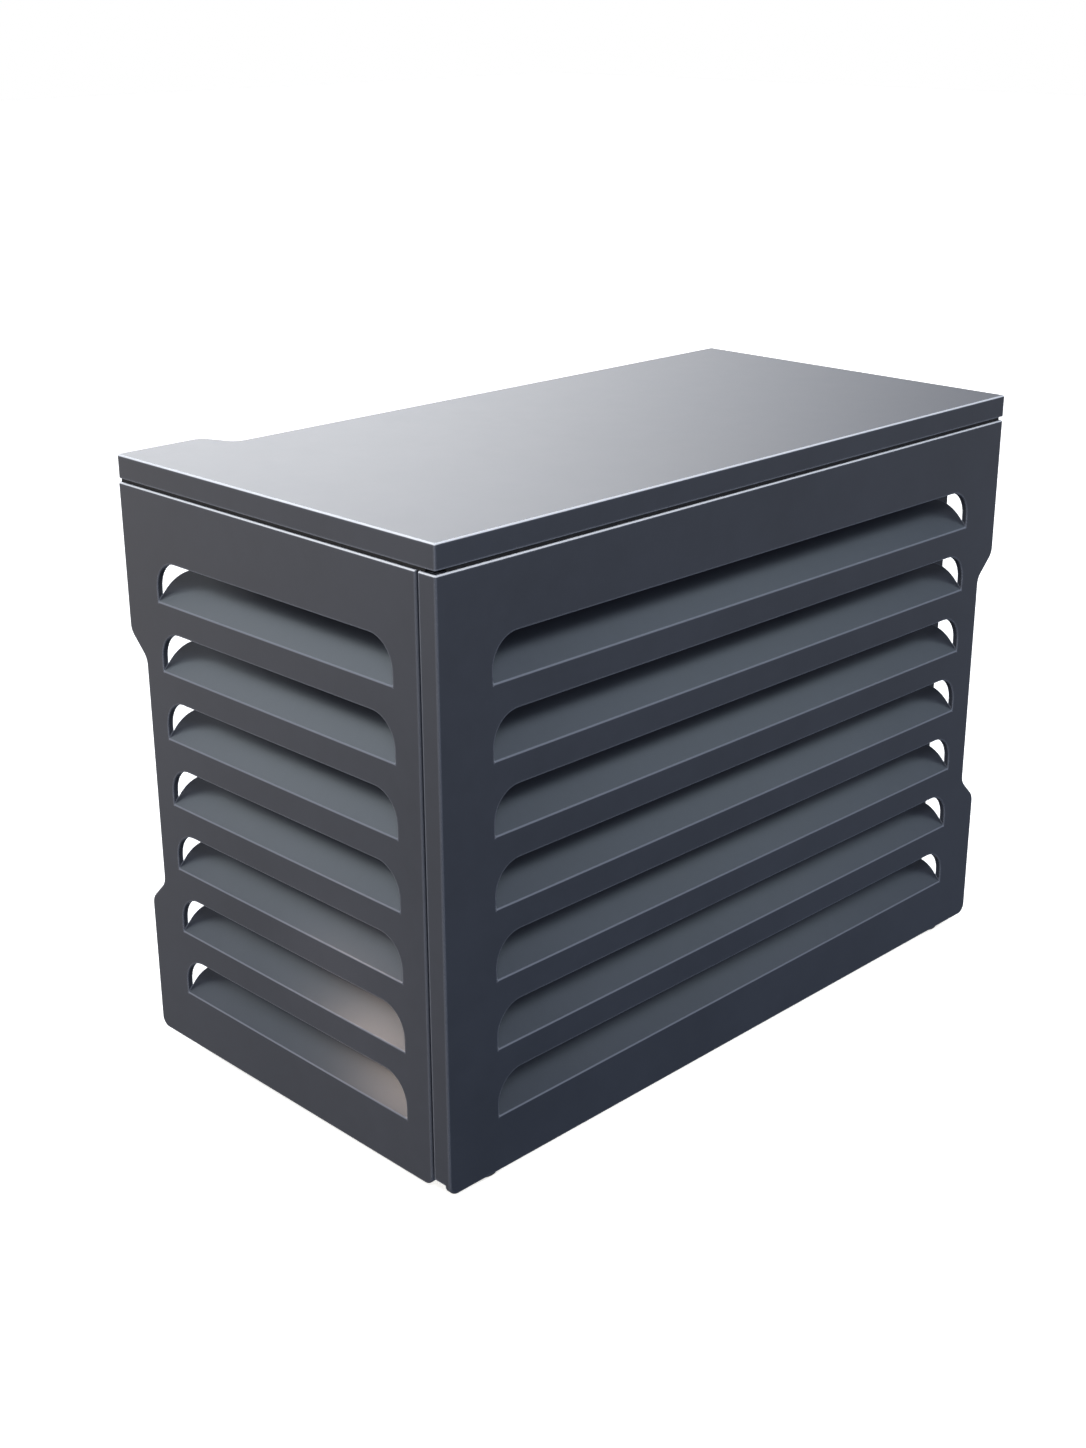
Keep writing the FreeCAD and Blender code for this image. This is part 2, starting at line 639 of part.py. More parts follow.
def wall_screw_axes():
    """Two screws through each wall bracket's web into its post."""
    axes = []
    for post, way, _ in WALL_BRACKETS.values():
        x, y, _ = POSTS[post]
        face = V(x + TUBE / 2, y + TUBE / 2, 0) + way * (TUBE / 2)
        for z in wall_slot_heights():
            axes.append((face + V(0, 0, z), -way))
    return axes


def screw(point, inwards):
    """Domed screw through a bracket on the tube's face, with a hexagon socket in its head."""
    seat = point - inwards * BRACKET_T
    shank = cylinder(SCREW_R, seat, inwards, BRACKET_T + SCREW_REACH)
    dome_r = (SCREW_HEAD_R**2 + SCREW_HEAD_H**2) / (2 * SCREW_HEAD_H)
    ball = Part.makeSphere(dome_r, seat + inwards * (dome_r - SCREW_HEAD_H))
    head = ball.common(cylinder(dome_r, seat, -inwards, SCREW_HEAD_H))
    recess = cylinder(SCREW_SOCKET_R, seat - inwards * SCREW_HEAD_H, inwards, SCREW_HEAD_H / 2)
    return shank.fuse(head).cut(recess)


def screw_holes(axes):
    """Clearance holes for screws, through the bracket and the tube wall behind it."""
    reach = BRACKET_T + SCREW_REACH + 2 * CUT_OVERRUN
    radius = SCREW_R + HOLE_CLEARANCE
    return [cylinder(radius, p - way * (BRACKET_T + CUT_OVERRUN), way, reach) for p, way in axes]


def frame_holes():
    """Everything that is drilled in the tubes: screws, panel sockets, lid sockets and foot inserts.

    Each hole goes through the near wall and ends inside the tube.
    """
    up = V(0, 0, 1)
    drill = TUBE_WALL + CUT_OVERRUN
    holes = screw_holes(bracket_screw_axes() + wall_screw_axes())
    for face, inwards in sum(stud_places(), []):
        holes.append(cylinder(SOCKET_SPIGOT_R + SNAP_CLEARANCE, face, inwards, FRAME_INSET + drill))
    for x in CHANNEL_CENTRES:
        for y in RAIL_LINES:
            start = V(x, y, TOP_RAIL_TOP - drill)
            holes.append(cylinder(LID_SOCKET_SPIGOT_R + SNAP_CLEARANCE, start, up, drill + CUT_OVERRUN))
    for x, y in FOOT_PLACES.values():
        start = V(x, y, BOTTOM_RAIL_Z - CUT_OVERRUN)
        holes.append(cylinder(INSERT_R + SNAP_CLEARANCE, start, up, drill + CUT_OVERRUN))
    return Part.makeCompound(holes)


def hexagon(across_flats, base, height):
    """Upright hexagonal prism."""
    radius = across_flats / math.sqrt(3)
    turns = [math.radians(60 * i) for i in range(7)]
    points = [base + V(radius * math.cos(a), radius * math.sin(a), 0) for a in turns]
    return Part.Face(Part.makePolygon(points)).extrude(V(0, 0, height))


def foot_pad(x, y):
    """Conical pad with a hub, bored for the stem's seat."""
    profile = [
        V(0, 0, 0),
        V(FOOT_PAD_R, 0, 0),
        V(FOOT_PAD_R, 0, FOOT_PAD_RIM),
        V(FOOT_HUB_R, 0, FOOT_PAD_H - FOOT_PAD_RIM),
        V(FOOT_HUB_R, 0, FOOT_PAD_H),
        V(0, 0, FOOT_PAD_H),
        V(0, 0, 0),
    ]
    body = Part.Face(Part.makePolygon(profile)).revolve(V(0, 0, 0), V(0, 0, 1), 360)
    body = body.cut(cylinder(FOOT_STEM_R, V(0, 0, FOOT_STEM_SEAT), V(0, 0, 1), FOOT_PAD_H))
    body.translate(V(x, y, 0))
    return body


def foot_stem(x, y):
    """Threaded stem with a hexagon to turn it by, standing in the pad."""
    up = V(0, 0, 1)
    stem = cylinder(FOOT_STEM_R, V(x, y, FOOT_STEM_SEAT), up, FOOT_STEM_TOP - FOOT_STEM_SEAT)
    stem = stem.makeChamfer(FOOT_STEM_CHAMFER, [e for e in stem.Edges if on_plane(e, "z", FOOT_STEM_TOP)])
    return stem.fuse(hexagon(FOOT_HEX_AF, V(x, y, FOOT_PAD_H), FOOT_HEX_H)).removeSplitter()


def foot_insert(x, y):
    """Flanged threaded insert in the rail's lower wall."""
    up = V(0, 0, 1)
    flange = cylinder(INSERT_FLANGE_R, V(x, y, BOTTOM_RAIL_Z - INSERT_FLANGE_T), up, INSERT_FLANGE_T)
    barrel = cylinder(INSERT_R, V(x, y, BOTTOM_RAIL_Z), up, INSERT_L)
    bore_start = V(x, y, BOTTOM_RAIL_Z - INSERT_FLANGE_T)
    bore = cylinder(FOOT_STEM_R + THREAD_CLEARANCE, bore_start, up, INSERT_FLANGE_T + INSERT_L)
    return flange.fuse(barrel).cut(bore).removeSplitter()


def lock_nut(x, y):
    """Hexagon nut against the insert's flange."""
    base = V(x, y, BOTTOM_RAIL_Z - INSERT_FLANGE_T - NUT_H)
    return hexagon(NUT_AF, base, NUT_H).cut(
        cylinder(FOOT_STEM_R + THREAD_CLEARANCE, base, V(0, 0, 1), NUT_H)
    )


def build():
    """All the parts by name."""
    parts = {
        "front_panel": front_panel(),
        "side_panel": side_panel(),
        "lid": lid(),
        "front_rib_left": front_rib(1 / 3),
        "front_rib_right": front_rib(2 / 3),
        "side_rib": side_rib(),
        "lid_channel_left": lid_channel(CHANNEL_CENTRES[0]),
        "lid_channel_right": lid_channel(CHANNEL_CENTRES[1]),
        "lid_pegs": lid_pegs(),
        "tube_end_caps": tube_end_caps(),
    }
    long_side, short_side = stud_places()
    for side, places in (("front", long_side), ("side", short_side)):
        parts[f"{side}_panel_studs"] = Part.makeCompound([stud(*p) for p in places])
        parts[f"{side}_panel_sockets"] = Part.makeCompound([socket(*p) for p in places])
    parts["lid_sockets"] = Part.makeCompound(
        [lid_socket(x, y) for x in CHANNEL_CENTRES for y in RAIL_LINES]
    )
    holes = frame_holes()
    for name, (start, end) in rails().items():
        parts[name] = tube(start, end).cut(holes)
    for name, (x, y, _) in POSTS.items():
        parts[name] = tube(V(x, y, BOTTOM_RAIL_TOP), V(x, y, TOP_RAIL_Z)).cut(holes)
    bracket_holes = Part.makeCompound(screw_holes(bracket_screw_axes()))
    brackets = [angle_bracket(*p).cut(bracket_holes) for p in bracket_places()]
    post_count = 2 * len(POSTS)
    parts["post_brackets"] = Part.makeCompound(brackets[:post_count])
    parts["rail_corner_brackets"] = Part.makeCompound(brackets[post_count:])
    parts["bracket_screws"] = Part.makeCompound([screw(*a) for a in bracket_screw_axes()])
    wall_holes = Part.makeCompound(screw_holes(wall_screw_axes()))
    for name, place in WALL_BRACKETS.items():
        parts[name] = wall_bracket(*place).cut(wall_holes)
    parts["wall_bracket_screws"] = Part.makeCompound([screw(*a) for a in wall_screw_axes()])
    for name, (x, y) in FOOT_PLACES.items():
        parts[f"foot_pad_{name}"] = foot_pad(x, y)
        parts[f"foot_stem_{name}"] = foot_stem(x, y)
    parts["foot_inserts"] = Part.makeCompound([foot_insert(*p) for p in FOOT_PLACES.values()])
    parts["foot_lock_nuts"] = Part.makeCompound([lock_nut(*p) for p in FOOT_PLACES.values()])
    return parts


os.makedirs("parts", exist_ok=True)
for node, shape in build().items():
    shape.exportStep(f"parts/{node}.step")
    print(f"{node}: {len(shape.Solids)} solid(s), {shape.Volume:.0f} mm3, valid {shape.isValid()}")
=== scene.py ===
"""Looks of a louvred housing for an outdoor standby power unit, with its hardware, stage and camera.

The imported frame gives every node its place. Each sub-assembly is a class that builds its meshes as
numpy surfaces and dresses them; main() makes them in order. Lengths are in metres, +Z is up, the long
louvred panel faces -Y and the short one -X.
"""

import json
import logging
import math
from dataclasses import dataclass
from enum import Enum
from typing import NamedTuple, Sequence, Union

import bpy
import numpy as np
from mathutils import Euler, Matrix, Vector

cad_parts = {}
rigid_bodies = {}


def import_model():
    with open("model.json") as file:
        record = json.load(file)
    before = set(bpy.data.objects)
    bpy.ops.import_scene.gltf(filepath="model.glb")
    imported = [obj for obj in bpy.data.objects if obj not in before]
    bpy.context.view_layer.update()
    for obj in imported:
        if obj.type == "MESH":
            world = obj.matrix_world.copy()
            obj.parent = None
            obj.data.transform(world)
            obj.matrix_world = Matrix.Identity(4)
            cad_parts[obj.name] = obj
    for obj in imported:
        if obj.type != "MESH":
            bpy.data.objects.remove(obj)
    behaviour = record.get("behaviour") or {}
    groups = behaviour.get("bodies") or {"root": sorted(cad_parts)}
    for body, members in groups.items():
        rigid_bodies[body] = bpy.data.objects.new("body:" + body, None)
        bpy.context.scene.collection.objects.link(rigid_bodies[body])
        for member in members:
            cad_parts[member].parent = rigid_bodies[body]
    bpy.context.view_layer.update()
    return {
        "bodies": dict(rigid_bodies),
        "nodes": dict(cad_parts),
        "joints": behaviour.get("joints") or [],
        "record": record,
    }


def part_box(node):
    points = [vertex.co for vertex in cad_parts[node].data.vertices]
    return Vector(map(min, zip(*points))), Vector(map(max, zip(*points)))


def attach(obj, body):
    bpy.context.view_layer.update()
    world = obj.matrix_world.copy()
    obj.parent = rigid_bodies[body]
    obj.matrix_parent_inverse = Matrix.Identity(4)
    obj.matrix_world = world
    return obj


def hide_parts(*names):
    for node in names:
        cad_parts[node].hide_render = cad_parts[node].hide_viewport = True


log = logging.getLogger("housing")

MM = 0.001
MERGE = 1e-5  # points nearer than this are one
SMOOTH = 32.0  # edges flatter than this many degrees are shaded smooth
HEAD_SHARE = 0.93  # points farther from an axis than this share of the farthest belong to a head
Triple = tuple[float, float, float]
Colour = Triple
Number = Union[float, "Value"]


# ---------------- shader maths


class Value:
    """A node socket that does arithmetic: each operator adds one Math node."""

    def __init__(self, sheet: "NodeSheet", socket: bpy.types.NodeSocket) -> None:
        """Wraps a socket.

        Args:
            sheet: The node tree that the socket belongs to.
            socket: An output socket with a number.
        """
        self.sheet = sheet
        self.socket = socket

    def _math(self, operation: str, *terms: Number) -> "Value":
        """Adds a Math node of one operation over the terms and returns its output."""
        sockets = dict(enumerate(terms))
        return Value(self.sheet, self.sheet.add("Math", {"operation": operation}, sockets).outputs[0])

    def __add__(self, other: Number) -> "Value":
        """self + other."""
        return self._math("ADD", self, other)

    __radd__ = __add__

    def __sub__(self, other: Number) -> "Value":
        """self - other."""
        return self._math("SUBTRACT", self, other)

    def __rsub__(self, other: Number) -> "Value":
        """other - self."""
        return self._math("SUBTRACT", other, self)

    def __mul__(self, other: Number) -> "Value":
        """self * other."""
        return self._math("MULTIPLY", self, other)

    __rmul__ = __mul__

    def size(self) -> "Value":
        """Absolute value of self."""
        return self._math("ABSOLUTE", self)

    def wrap(self, period: float) -> "Value":
        """Remainder of self over a period, from 0 to the period."""
        return self._math("FLOORED_MODULO", self, period)

    def least(self, other: Number) -> "Value":
        """The smaller of self and other."""
        return self._math("MINIMUM", self, other)

    def ramp(self, low: float, high: float) -> "Value":
        """Smooth step from 0 at low to 1 at high.

        Args:
            low: Value where the step starts.
            high: Value where the step ends; it may be less than low.

        Returns:
            The step, between 0 and 1.
        """
        settings = {"interpolation_type": "SMOOTHSTEP"}
        ends = (low, high, 0.0, 1.0) if low < high else (high, low, 1.0, 0.0)
        sockets = {"Value": self, **dict(zip(("From Min", "From Max", "To Min", "To Max"), ends))}
        return Value(self.sheet, self.sheet.add("MapRange", settings, sockets).outputs["Result"])


class NodeSheet:
    """Node tree of one material, filled by one method."""

    def __init__(self, tree: bpy.types.NodeTree) -> None:
        """Empties the tree.

        Args:
            tree: Node tree of a material or world.
        """
        self.tree = tree
        tree.nodes.clear()

    def add(self, kind: str, settings: dict | None = None, sockets: dict | None = None) -> bpy.types.Node:
        """Adds a node.

        Args:
            kind: Type of the node, without its ShaderNode prefix.
            settings: Properties of the node, set before its sockets.
            sockets: Input names or numbers with their numbers, colours, Values or output sockets.

        Returns:
            The new node.
        """
        node = self.tree.nodes.new("ShaderNode" + kind)
        for name, value in (settings or {}).items():
            setattr(node, name, value)
        for name, value in (sockets or {}).items():
            target = node.inputs[name]
            if isinstance(value, Value):
                value = value.socket
            if isinstance(value, bpy.types.NodeSocket):
                self.tree.links.new(value, target)
            elif isinstance(value, (tuple, list)) and target.type == "RGBA" and len(value) == 3:
                target.default_value = (*value, 1.0)
            else:
                target.default_value = value
        return node

    def place(self) -> bpy.types.NodeSocket:
        """Object coordinates, in metres."""
        return self.add("TexCoord").outputs["Object"]

    def axes(self) -> tuple[Value, Value, Value]:
        """Object coordinates as three numbers."""
        split = self.add("SeparateXYZ", None, {0: self.place()})
        return tuple(Value(self, out) for out in split.outputs)

    def noise(
        self, scale: float, detail: float = 2.0, rough: float = 0.5, stretch: Triple = (1, 1, 1)
    ) -> Value:
        """Noise over object coordinates.

        Args:
            scale: Features per metre.
            detail: Octaves.
            rough: Strength of the finer octaves.
            stretch: Scale of the coordinates along each axis.

        Returns:
            The noise, about 0.5 on average.
        """
        where = self.place()
        if tuple(stretch) != (1, 1, 1):
            where = self.add("Mapping", None, {"Vector": where, "Scale": stretch}).outputs[0]
        sockets = {"Vector": where, "Scale": scale, "Detail": detail, "Roughness": rough}
        return Value(self, self.add("TexNoise", None, sockets).outputs[0])

    def mix(self, share: Number, first: object, second: object) -> bpy.types.NodeSocket:
        """Colour between two colours.

        Args:
            share: 0 for the first colour and 1 for the second.
            first: Colour or colour socket.
            second: Colour or colour socket.

        Returns:
            The colour's socket.
        """
        node = self.add("Mix", {"data_type": "RGBA", "clamp_factor": True}, {0: share})
        for number, value in ((6, first), (7, second)):
            if isinstance(value, bpy.types.NodeSocket):
                self.tree.links.new(value, node.inputs[number])
            else:
                node.inputs[number].default_value = (*value, 1.0)
        return node.outputs[2]

    def edge(self, radius: float) -> Value:
        """Mask of sharp and tightly rounded edges, from 0 on flats to about 1 on an edge.

        Args:
            radius: Reach of the mask from the edge.

        Returns:
            One minus the dot product of the rounded and the true normal, scaled up.
        """
        rounded = self.add("Bevel", {"samples": 4}, {"Radius": radius}).outputs[0]
        true = self.add("NewGeometry").outputs["True Normal"]
        dot = self.add("VectorMath", {"operation": "DOT_PRODUCT"}, {0: rounded, 1: true})
        return (1.0 - Value(self, dot.outputs["Value"])).ramp(0.008, 0.08)

    def tilt(self) -> Value:
        """The normal's share along +Z: 1 on level surfaces that face up, 0 on upright ones."""
        normal = self.add("NewGeometry").outputs["Normal"]
        return Value(self, self.add("SeparateXYZ", None, {0: normal}).outputs[2])

    def facing_up(self) -> Value:
        """Mask of the surfaces that face up."""
        return self.tilt().ramp(0.3, 0.95)

    def bump(self, height: Number, strength: float, distance: float) -> bpy.types.NodeSocket:
        """Normal from a height.

        Args:
            height: Height, where 1 stands for the distance.
            strength: Share of the effect.
            distance: Height in metres of a value of 1.

        Returns:
            The normal's socket.
        """
        sockets = {"Height": height, "Strength": strength, "Distance": distance}
        return self.add("Bump", None, sockets).outputs[0]

    def surface(self, **sockets: object) -> None:
        """Ends the tree in one Principled shader with the named sockets, spaces written as underscores."""
        named = {name.replace("_", " "): value for name, value in sockets.items()}
        shader = self.add("BsdfPrincipled", None, named)
        self.add("OutputMaterial", None, {"Surface": shader.outputs[0]})


# ---------------- finishes


def new_sheet(name: str) -> tuple[bpy.types.Material, NodeSheet]:
    """A material with an empty node sheet."""
    material = bpy.data.materials.new(name)
    material.use_nodes = True
    return material, NodeSheet(material.node_tree)


@dataclass(frozen=True)
class PowderCoat:
    """Powder coat on sheet steel: orange peel, a slight cloud in colour and gloss and dust, with painted
    highlights along the edges and folds and a painted highlight line along the upper edges.

    Lengths are in metres. Faces and reaches are ramps from 0 at the first number to 1 at the second.
    """

    name: str
    colour: Colour
    edge_highlight_colour: Colour
    # The next two colours are painted highlights: a pale one along edges and folds, a near-white one along
    # the upper edges.
    top_edge_highlight_colour: Colour
    dust_colour: Colour
    roughness: float = 0.34
    edge_reach: float = 0.003
    edge_share: float = 0.75
    rim_height: float = 0.789  # the housing's upper edges, which get the painted highlight line, are above this
    first_fold: float = 0.0835
    fold_pitch: float = 0.094
    last_fold: tuple[float, float] = (0.70, 0.69)
    fold_width: float = 0.0016
    # Strength of the painted highlight along the folds.
    fold_highlight_strength: float = 0.0
    long_face: tuple[float, float] = (0.2985, 0.3)
    long_middle: float = 0.00425
    long_reach: tuple[float, float] = (0.4705, 0.4695)
    short_face: tuple[float, float] = (0.5465, 0.548)
    short_middle: float = 0.003
    short_reach: tuple[float, float] = (0.2288, 0.2278)
    cloud_scale: float = 3.1
    mottle_scale: float = 38.0
    smear_scale: float = 9.0
    smear_stretch: Triple = (1.0, 1.0, 0.25)
    darkest: float = 0.86
    lightest: float = 1.10
    peel_strength: float = 0.8
    peel_scale: float = 420.0
    peel_height: float = 0.00006
    grain_scale: float = 2600.0
    grain_height: float = 0.00001
    dust: float = 0.02

    def make(self) -> bpy.types.Material:
        """Builds the material."""
        material, sheet = new_sheet(self.name)
        cloud = sheet.noise(self.cloud_scale, 3.0, 0.55)
        mottle = sheet.noise(self.mottle_scale, 3.0, 0.6)
        grain = sheet.noise(self.grain_scale, 2.0, 0.6)
        peel = sheet.noise(self.peel_scale, 2.0, 0.45)
        smear = sheet.noise(self.smear_scale, 4.0, 0.6, self.smear_stretch)
        edge = sheet.edge(self.edge_reach)
        tilt = sheet.tilt()
        # Painted highlight: a near-white line on rounded and tilted faces along the housing's upper edges,
        # and on the flats beside them.
        rolled = tilt.ramp(0.15, 0.45) * tilt.ramp(0.985, 0.93)
        height = sheet.axes()[2]
        line = (rolled + edge * tilt.ramp(0.9, 0.99)).least(1.0)
        line = line * height.ramp(self.rim_height - 0.001, self.rim_height)
        folds = self._fold_highlights(sheet)
        dust = sheet.facing_up() * smear.ramp(0.42, 0.72) * self.dust
        darker = tuple(self.darkest * c for c in self.colour)
        lighter = tuple(self.lightest * c for c in self.colour)
        tone = (cloud * 0.6 + mottle * 0.25 + grain * 0.15).ramp(0.3, 0.7)
        colour = sheet.mix(tone, darker, lighter)
        # Painted highlights: edges and folds are mixed towards a pale colour, then the upper edges towards
        # near white.
        colour = sheet.mix(edge * self.edge_share, colour, self.edge_highlight_colour)
        colour = sheet.mix(folds, colour, self.edge_highlight_colour)
        colour = sheet.mix(line, colour, self.top_edge_highlight_colour)
        colour = sheet.mix(dust, colour, self.dust_colour)
        rough = self.roughness + (cloud - 0.5) * 0.03 + (mottle - 0.5) * 0.03 + dust * 0.5
        rough = rough + (grain - 0.5) * 0.05 - edge * 0.05
        relief = peel + grain * (self.grain_height / self.peel_height)
        normal = sheet.bump(relief, self.peel_strength, self.peel_height)
        sheet.surface(Base_Color=colour, Roughness=rough, Normal=normal)
        return material

    def _fold_highlights(self, sheet: NodeSheet) -> Value:
        """Mask of the painted highlight along the folds between blades and strips.

        The folds repeat every pitch above the first one, so the distance from the nearest is the absolute
        value of (height - first + half a pitch) modulo the pitch, less half a pitch. It counts only on the
        outer faces and between the slots' ends.

        Args:
            sheet: The finish's node sheet.

        Returns:
            The painted highlight's mask, from 0 to the fold highlight strength.
        """
        across, along, height = sheet.axes()
        half = self.fold_pitch / 2
        wrapped = (height - (self.first_fold - half)).wrap(self.fold_pitch)
        near = (wrapped - half).size().ramp(self.fold_width, self.fold_width * 0.4)
        long_ends = (across - self.long_middle).size().ramp(*self.long_reach)
        short_ends = (along - self.short_middle).size().ramp(*self.short_reach)
        front = (along * -1.0).ramp(*self.long_face) * long_ends
        side = (across * -1.0).ramp(*self.short_face) * short_ends
        below_last = height.ramp(*self.last_fold)
        return near * (front + side).least(1.0) * below_last * self.fold_highlight_strength


@dataclass(frozen=True)
class PlatedSteel:
    """Zinc-plated or plain stainless steel: fine rolling or turning marks, cloudy plating and a painted
    highlight along the edges.
    """

    name: str
    colour: Colour
    stain_colour: Colour
    roughness: float
    stain: float
    mark_stretch: Triple = (1.0, 1.0, 0.04)
    mark_scale: float = 2400.0
    mark_height: float = 0.00003
    mark_strength: float = 0.35
    spangle_scale: float = 210.0
    cloud_scale: float = 45.0
    edge_reach: float = 0.0006
    highlight_gain: float = 1.15
    edge_share: float = 0.4

    def make(self) -> bpy.types.Material:
        """Builds the material."""
        material, sheet = new_sheet(self.name)
        marks = sheet.noise(self.mark_scale, 2.0, 0.6, self.mark_stretch)
        spangle = sheet.noise(self.spangle_scale, 3.0, 0.55)
        cloud = sheet.noise(self.cloud_scale, 3.0, 0.6)
        edge = sheet.edge(self.edge_reach)
        tone = (cloud * 0.5 + spangle * 0.5).ramp(0.35, 0.7)
        colour = sheet.mix(tone * self.stain, self.colour, self.stain_colour)
        # Painted highlight: edges are mixed towards a brighter colour.
        highlight_colour = tuple(min(1.0, self.highlight_gain * c) for c in self.colour)
        colour = sheet.mix(edge * self.edge_share, colour, highlight_colour)
        rough = self.roughness + (cloud - 0.5) * 0.16 + (marks - 0.5) * 0.12 - edge * 0.06
        relief = marks * 0.6 + spangle * 0.4
        normal = sheet.bump(relief, self.mark_strength, self.mark_height)
        sheet.surface(Base_Color=colour, Roughness=rough, Normal=normal, Metallic=1.0)
        return material


@dataclass(frozen=True)
class Moulded:
    """Moulded nylon or rubber: a spark-eroded texture, slight wear on the edges and dust."""

    name: str
    colour: Colour
    worn_colour: Colour
    roughness: float
    texture_scale: float
    texture_height: float
    dust: float
    texture_strength: float = 0.6
    cloud_scale: float = 60.0
    darkest: float = 0.85
    edge_reach: float = 0.0007
    edge_share: float = 0.5
    dust_colour: Colour = (0.32, 0.30, 0.27)

    def make(self) -> bpy.types.Material:
        """Builds the material."""
        material, sheet = new_sheet(self.name)
        cloud = sheet.noise(self.cloud_scale, 3.0, 0.6)
        texture = sheet.noise(self.texture_scale, 3.0, 0.65)
        edge = sheet.edge(self.edge_reach)
        dust = (sheet.facing_up() * 0.7 + cloud.ramp(0.5, 0.75) * 0.3) * self.dust
        darker = tuple(self.darkest * c for c in self.colour)
        colour = sheet.mix(cloud.ramp(0.3, 0.7), darker, self.colour)
        colour = sheet.mix(edge * self.edge_share, colour, self.worn_colour)
        colour = sheet.mix(dust, colour, self.dust_colour)
        rough = self.roughness + (cloud - 0.5) * 0.12 + (texture - 0.5) * 0.1 + dust * 0.3
        normal = sheet.bump(texture, self.texture_strength, self.texture_height)
        sheet.surface(Base_Color=colour, Roughness=rough, Normal=normal)
        return material


class Finish(Enum):
    """Every finish on the housing, named as its slot in the record."""

    HOUSING_PAINT = "housing_paint"
    FRAME_PAINT = "frame_paint"
    ZINC_PLATE = "zinc_plate"
    STAINLESS = "stainless"
    NYLON = "nylon"
    FOOT_RUBBER = "foot_rubber"


RECIPES = {
    Finish.HOUSING_PAINT: PowderCoat(
        name="satin anthracite powder coat",
        colour=(0.036, 0.041, 0.054),
        # Pale painted highlights on edges and folds and a near-white painted highlight along the upper
        # edges.
        edge_highlight_colour=(0.24, 0.26, 0.31),
        top_edge_highlight_colour=(0.74, 0.75, 0.78),
        dust_colour=(0.30, 0.30, 0.29),
        # Painted highlight along the folds.
        fold_highlight_strength=0.7,
    ),
    Finish.FRAME_PAINT: PowderCoat(
        name="textured anthracite powder coat",
        colour=(0.030, 0.034, 0.042),
        # Slightly paler painted highlights on the frame's edges and upper edges.
        edge_highlight_colour=(0.08, 0.085, 0.095),
        top_edge_highlight_colour=(0.08, 0.085, 0.095),
        dust_colour=(0.28, 0.28, 0.27),
        roughness=0.52,
        peel_scale=900.0,
        peel_height=0.00014,
    ),
    Finish.ZINC_PLATE: PlatedSteel("zinc plate", (0.58, 0.60, 0.63), (0.36, 0.36, 0.33), 0.34, 0.55),
    Finish.STAINLESS: PlatedSteel("stainless steel", (0.63, 0.62, 0.60), (0.47, 0.46, 0.44), 0.26, 0.3),
    Finish.NYLON: Moulded(
        "black nylon", (0.020, 0.020, 0.022), (0.06, 0.06, 0.062), 0.46, 1500.0, 0.00005, 0.10
    ),
    Finish.FOOT_RUBBER: Moulded(
        "black rubber", (0.016, 0.016, 0.016), (0.045, 0.044, 0.042), 0.72, 900.0, 0.00009, 0.18
    ),
}


# ---------------- shapes


class Ring(NamedTuple):
    """One ring of a turned part: millimetres, with the corner as 0 for round and 1 for hexagonal."""

    radius: float
    height: float
    corner: float = 0.0
    limit: float = 1000.0


@dataclass(frozen=True)
class Seat:
    """Where a shape's own origin goes and which way its own axes point, as the columns of turn."""

    origin: np.ndarray
    turn: np.ndarray


def seat(origin: Sequence[float], axis: int, sign: float = 1.0) -> Seat:
    """A seat whose shape's own z points along one of the main axes.

    Args:
        origin: Where the shape's origin goes.
        axis: 0, 1 or 2 for X, Y or Z.
        sign: 1 for the positive and -1 for the negative way.

    Returns:
        The seat, with a right-handed turn: y is the cross product of z and x.
    """
    ahead = sign * np.eye(3)[axis]
    aside = np.eye(3)[(axis + 1) % 3]
    return Seat(np.asarray(origin, float), np.stack([aside, np.cross(ahead, aside), ahead], axis=1))


@dataclass(frozen=True)
class Skin:
    """Points and faces of a closed surface."""

    points: np.ndarray
    faces: list

    def at(self, seats: Sequence[Seat]) -> "Skin":
        """One skin with a copy at every seat: point p goes to origin + turn * p."""
        turns = np.stack([one.turn for one in seats])
        origins = np.stack([one.origin for one in seats])
        points = np.einsum("kij,nj->kni", turns, self.points) + origins[:, None]
        step = len(self.points)
        faces = [tuple(n + k * step for n in face) for k in range(len(seats)) for face in self.faces]
        return Skin(points.reshape(-1, 3), faces)


def skin(rings: np.ndarray, looped: bool = False) -> Skin:
    """Closed surface over rings of points.

    Point (i, j) is joined with (i, j + 1), (i + 1, j + 1) and (i + 1, j), where j runs round a ring and
    starts again after the last. The first and the last ring get flat ends, or are joined when looped.

    Args:
        rings: Points as (ring, place on the ring, coordinate).
        looped: Joins the last ring to the first, for a part with a hole.

    Returns:
        The surface, facing outwards for rings that climb along z and turn anticlockwise.
    """
    rows, columns = rings.shape[:2]
    here = np.arange(rows * columns).reshape(rows, columns)
    if looped:
        here = np.vstack([here, here[:1]])
    beside = np.roll(here, -1, axis=1)
    quads = np.stack([here[:-1], beside[:-1], beside[1:], here[1:]], axis=-1).reshape(-1, 4)
    faces = [tuple(quad) for quad in quads.tolist()]
    if not looped:
        faces += [tuple(here[0, ::-1].tolist()), tuple(here[-1].tolist())]
    return Skin(rings.reshape(-1, 3), faces)


def turned(profile: Sequence[Ring], columns: int = 36) -> np.ndarray:
    """Rings of a turned or hexagonal part, in metres.

    At angle t the radius is the ring's radius times (1 - corner + corner / cos(t mod 60° - 30°)), and at
    most the limit, which cuts a chamfer off a hexagon's corners.

    Args:
        profile: Rings in millimetres.
        columns: Points on each ring, a multiple of 6.

    Returns:
        Points as (ring, place on the ring, coordinate).
    """
    radius, height, corner, limit = np.array([tuple(ring) for ring in profile]).T[:, :, None]
    angle = np.linspace(0.0, 2 * np.pi, columns, endpoint=False)[None]
    hexagon = 1.0 / np.cos(np.mod(angle, np.pi / 3) - np.pi / 6)
    reach = np.minimum(radius * (1 - corner + corner * hexagon), limit)
    rings = np.stack([reach * np.cos(angle), reach * np.sin(angle), height + 0 * angle], axis=-1)
    return rings * MM


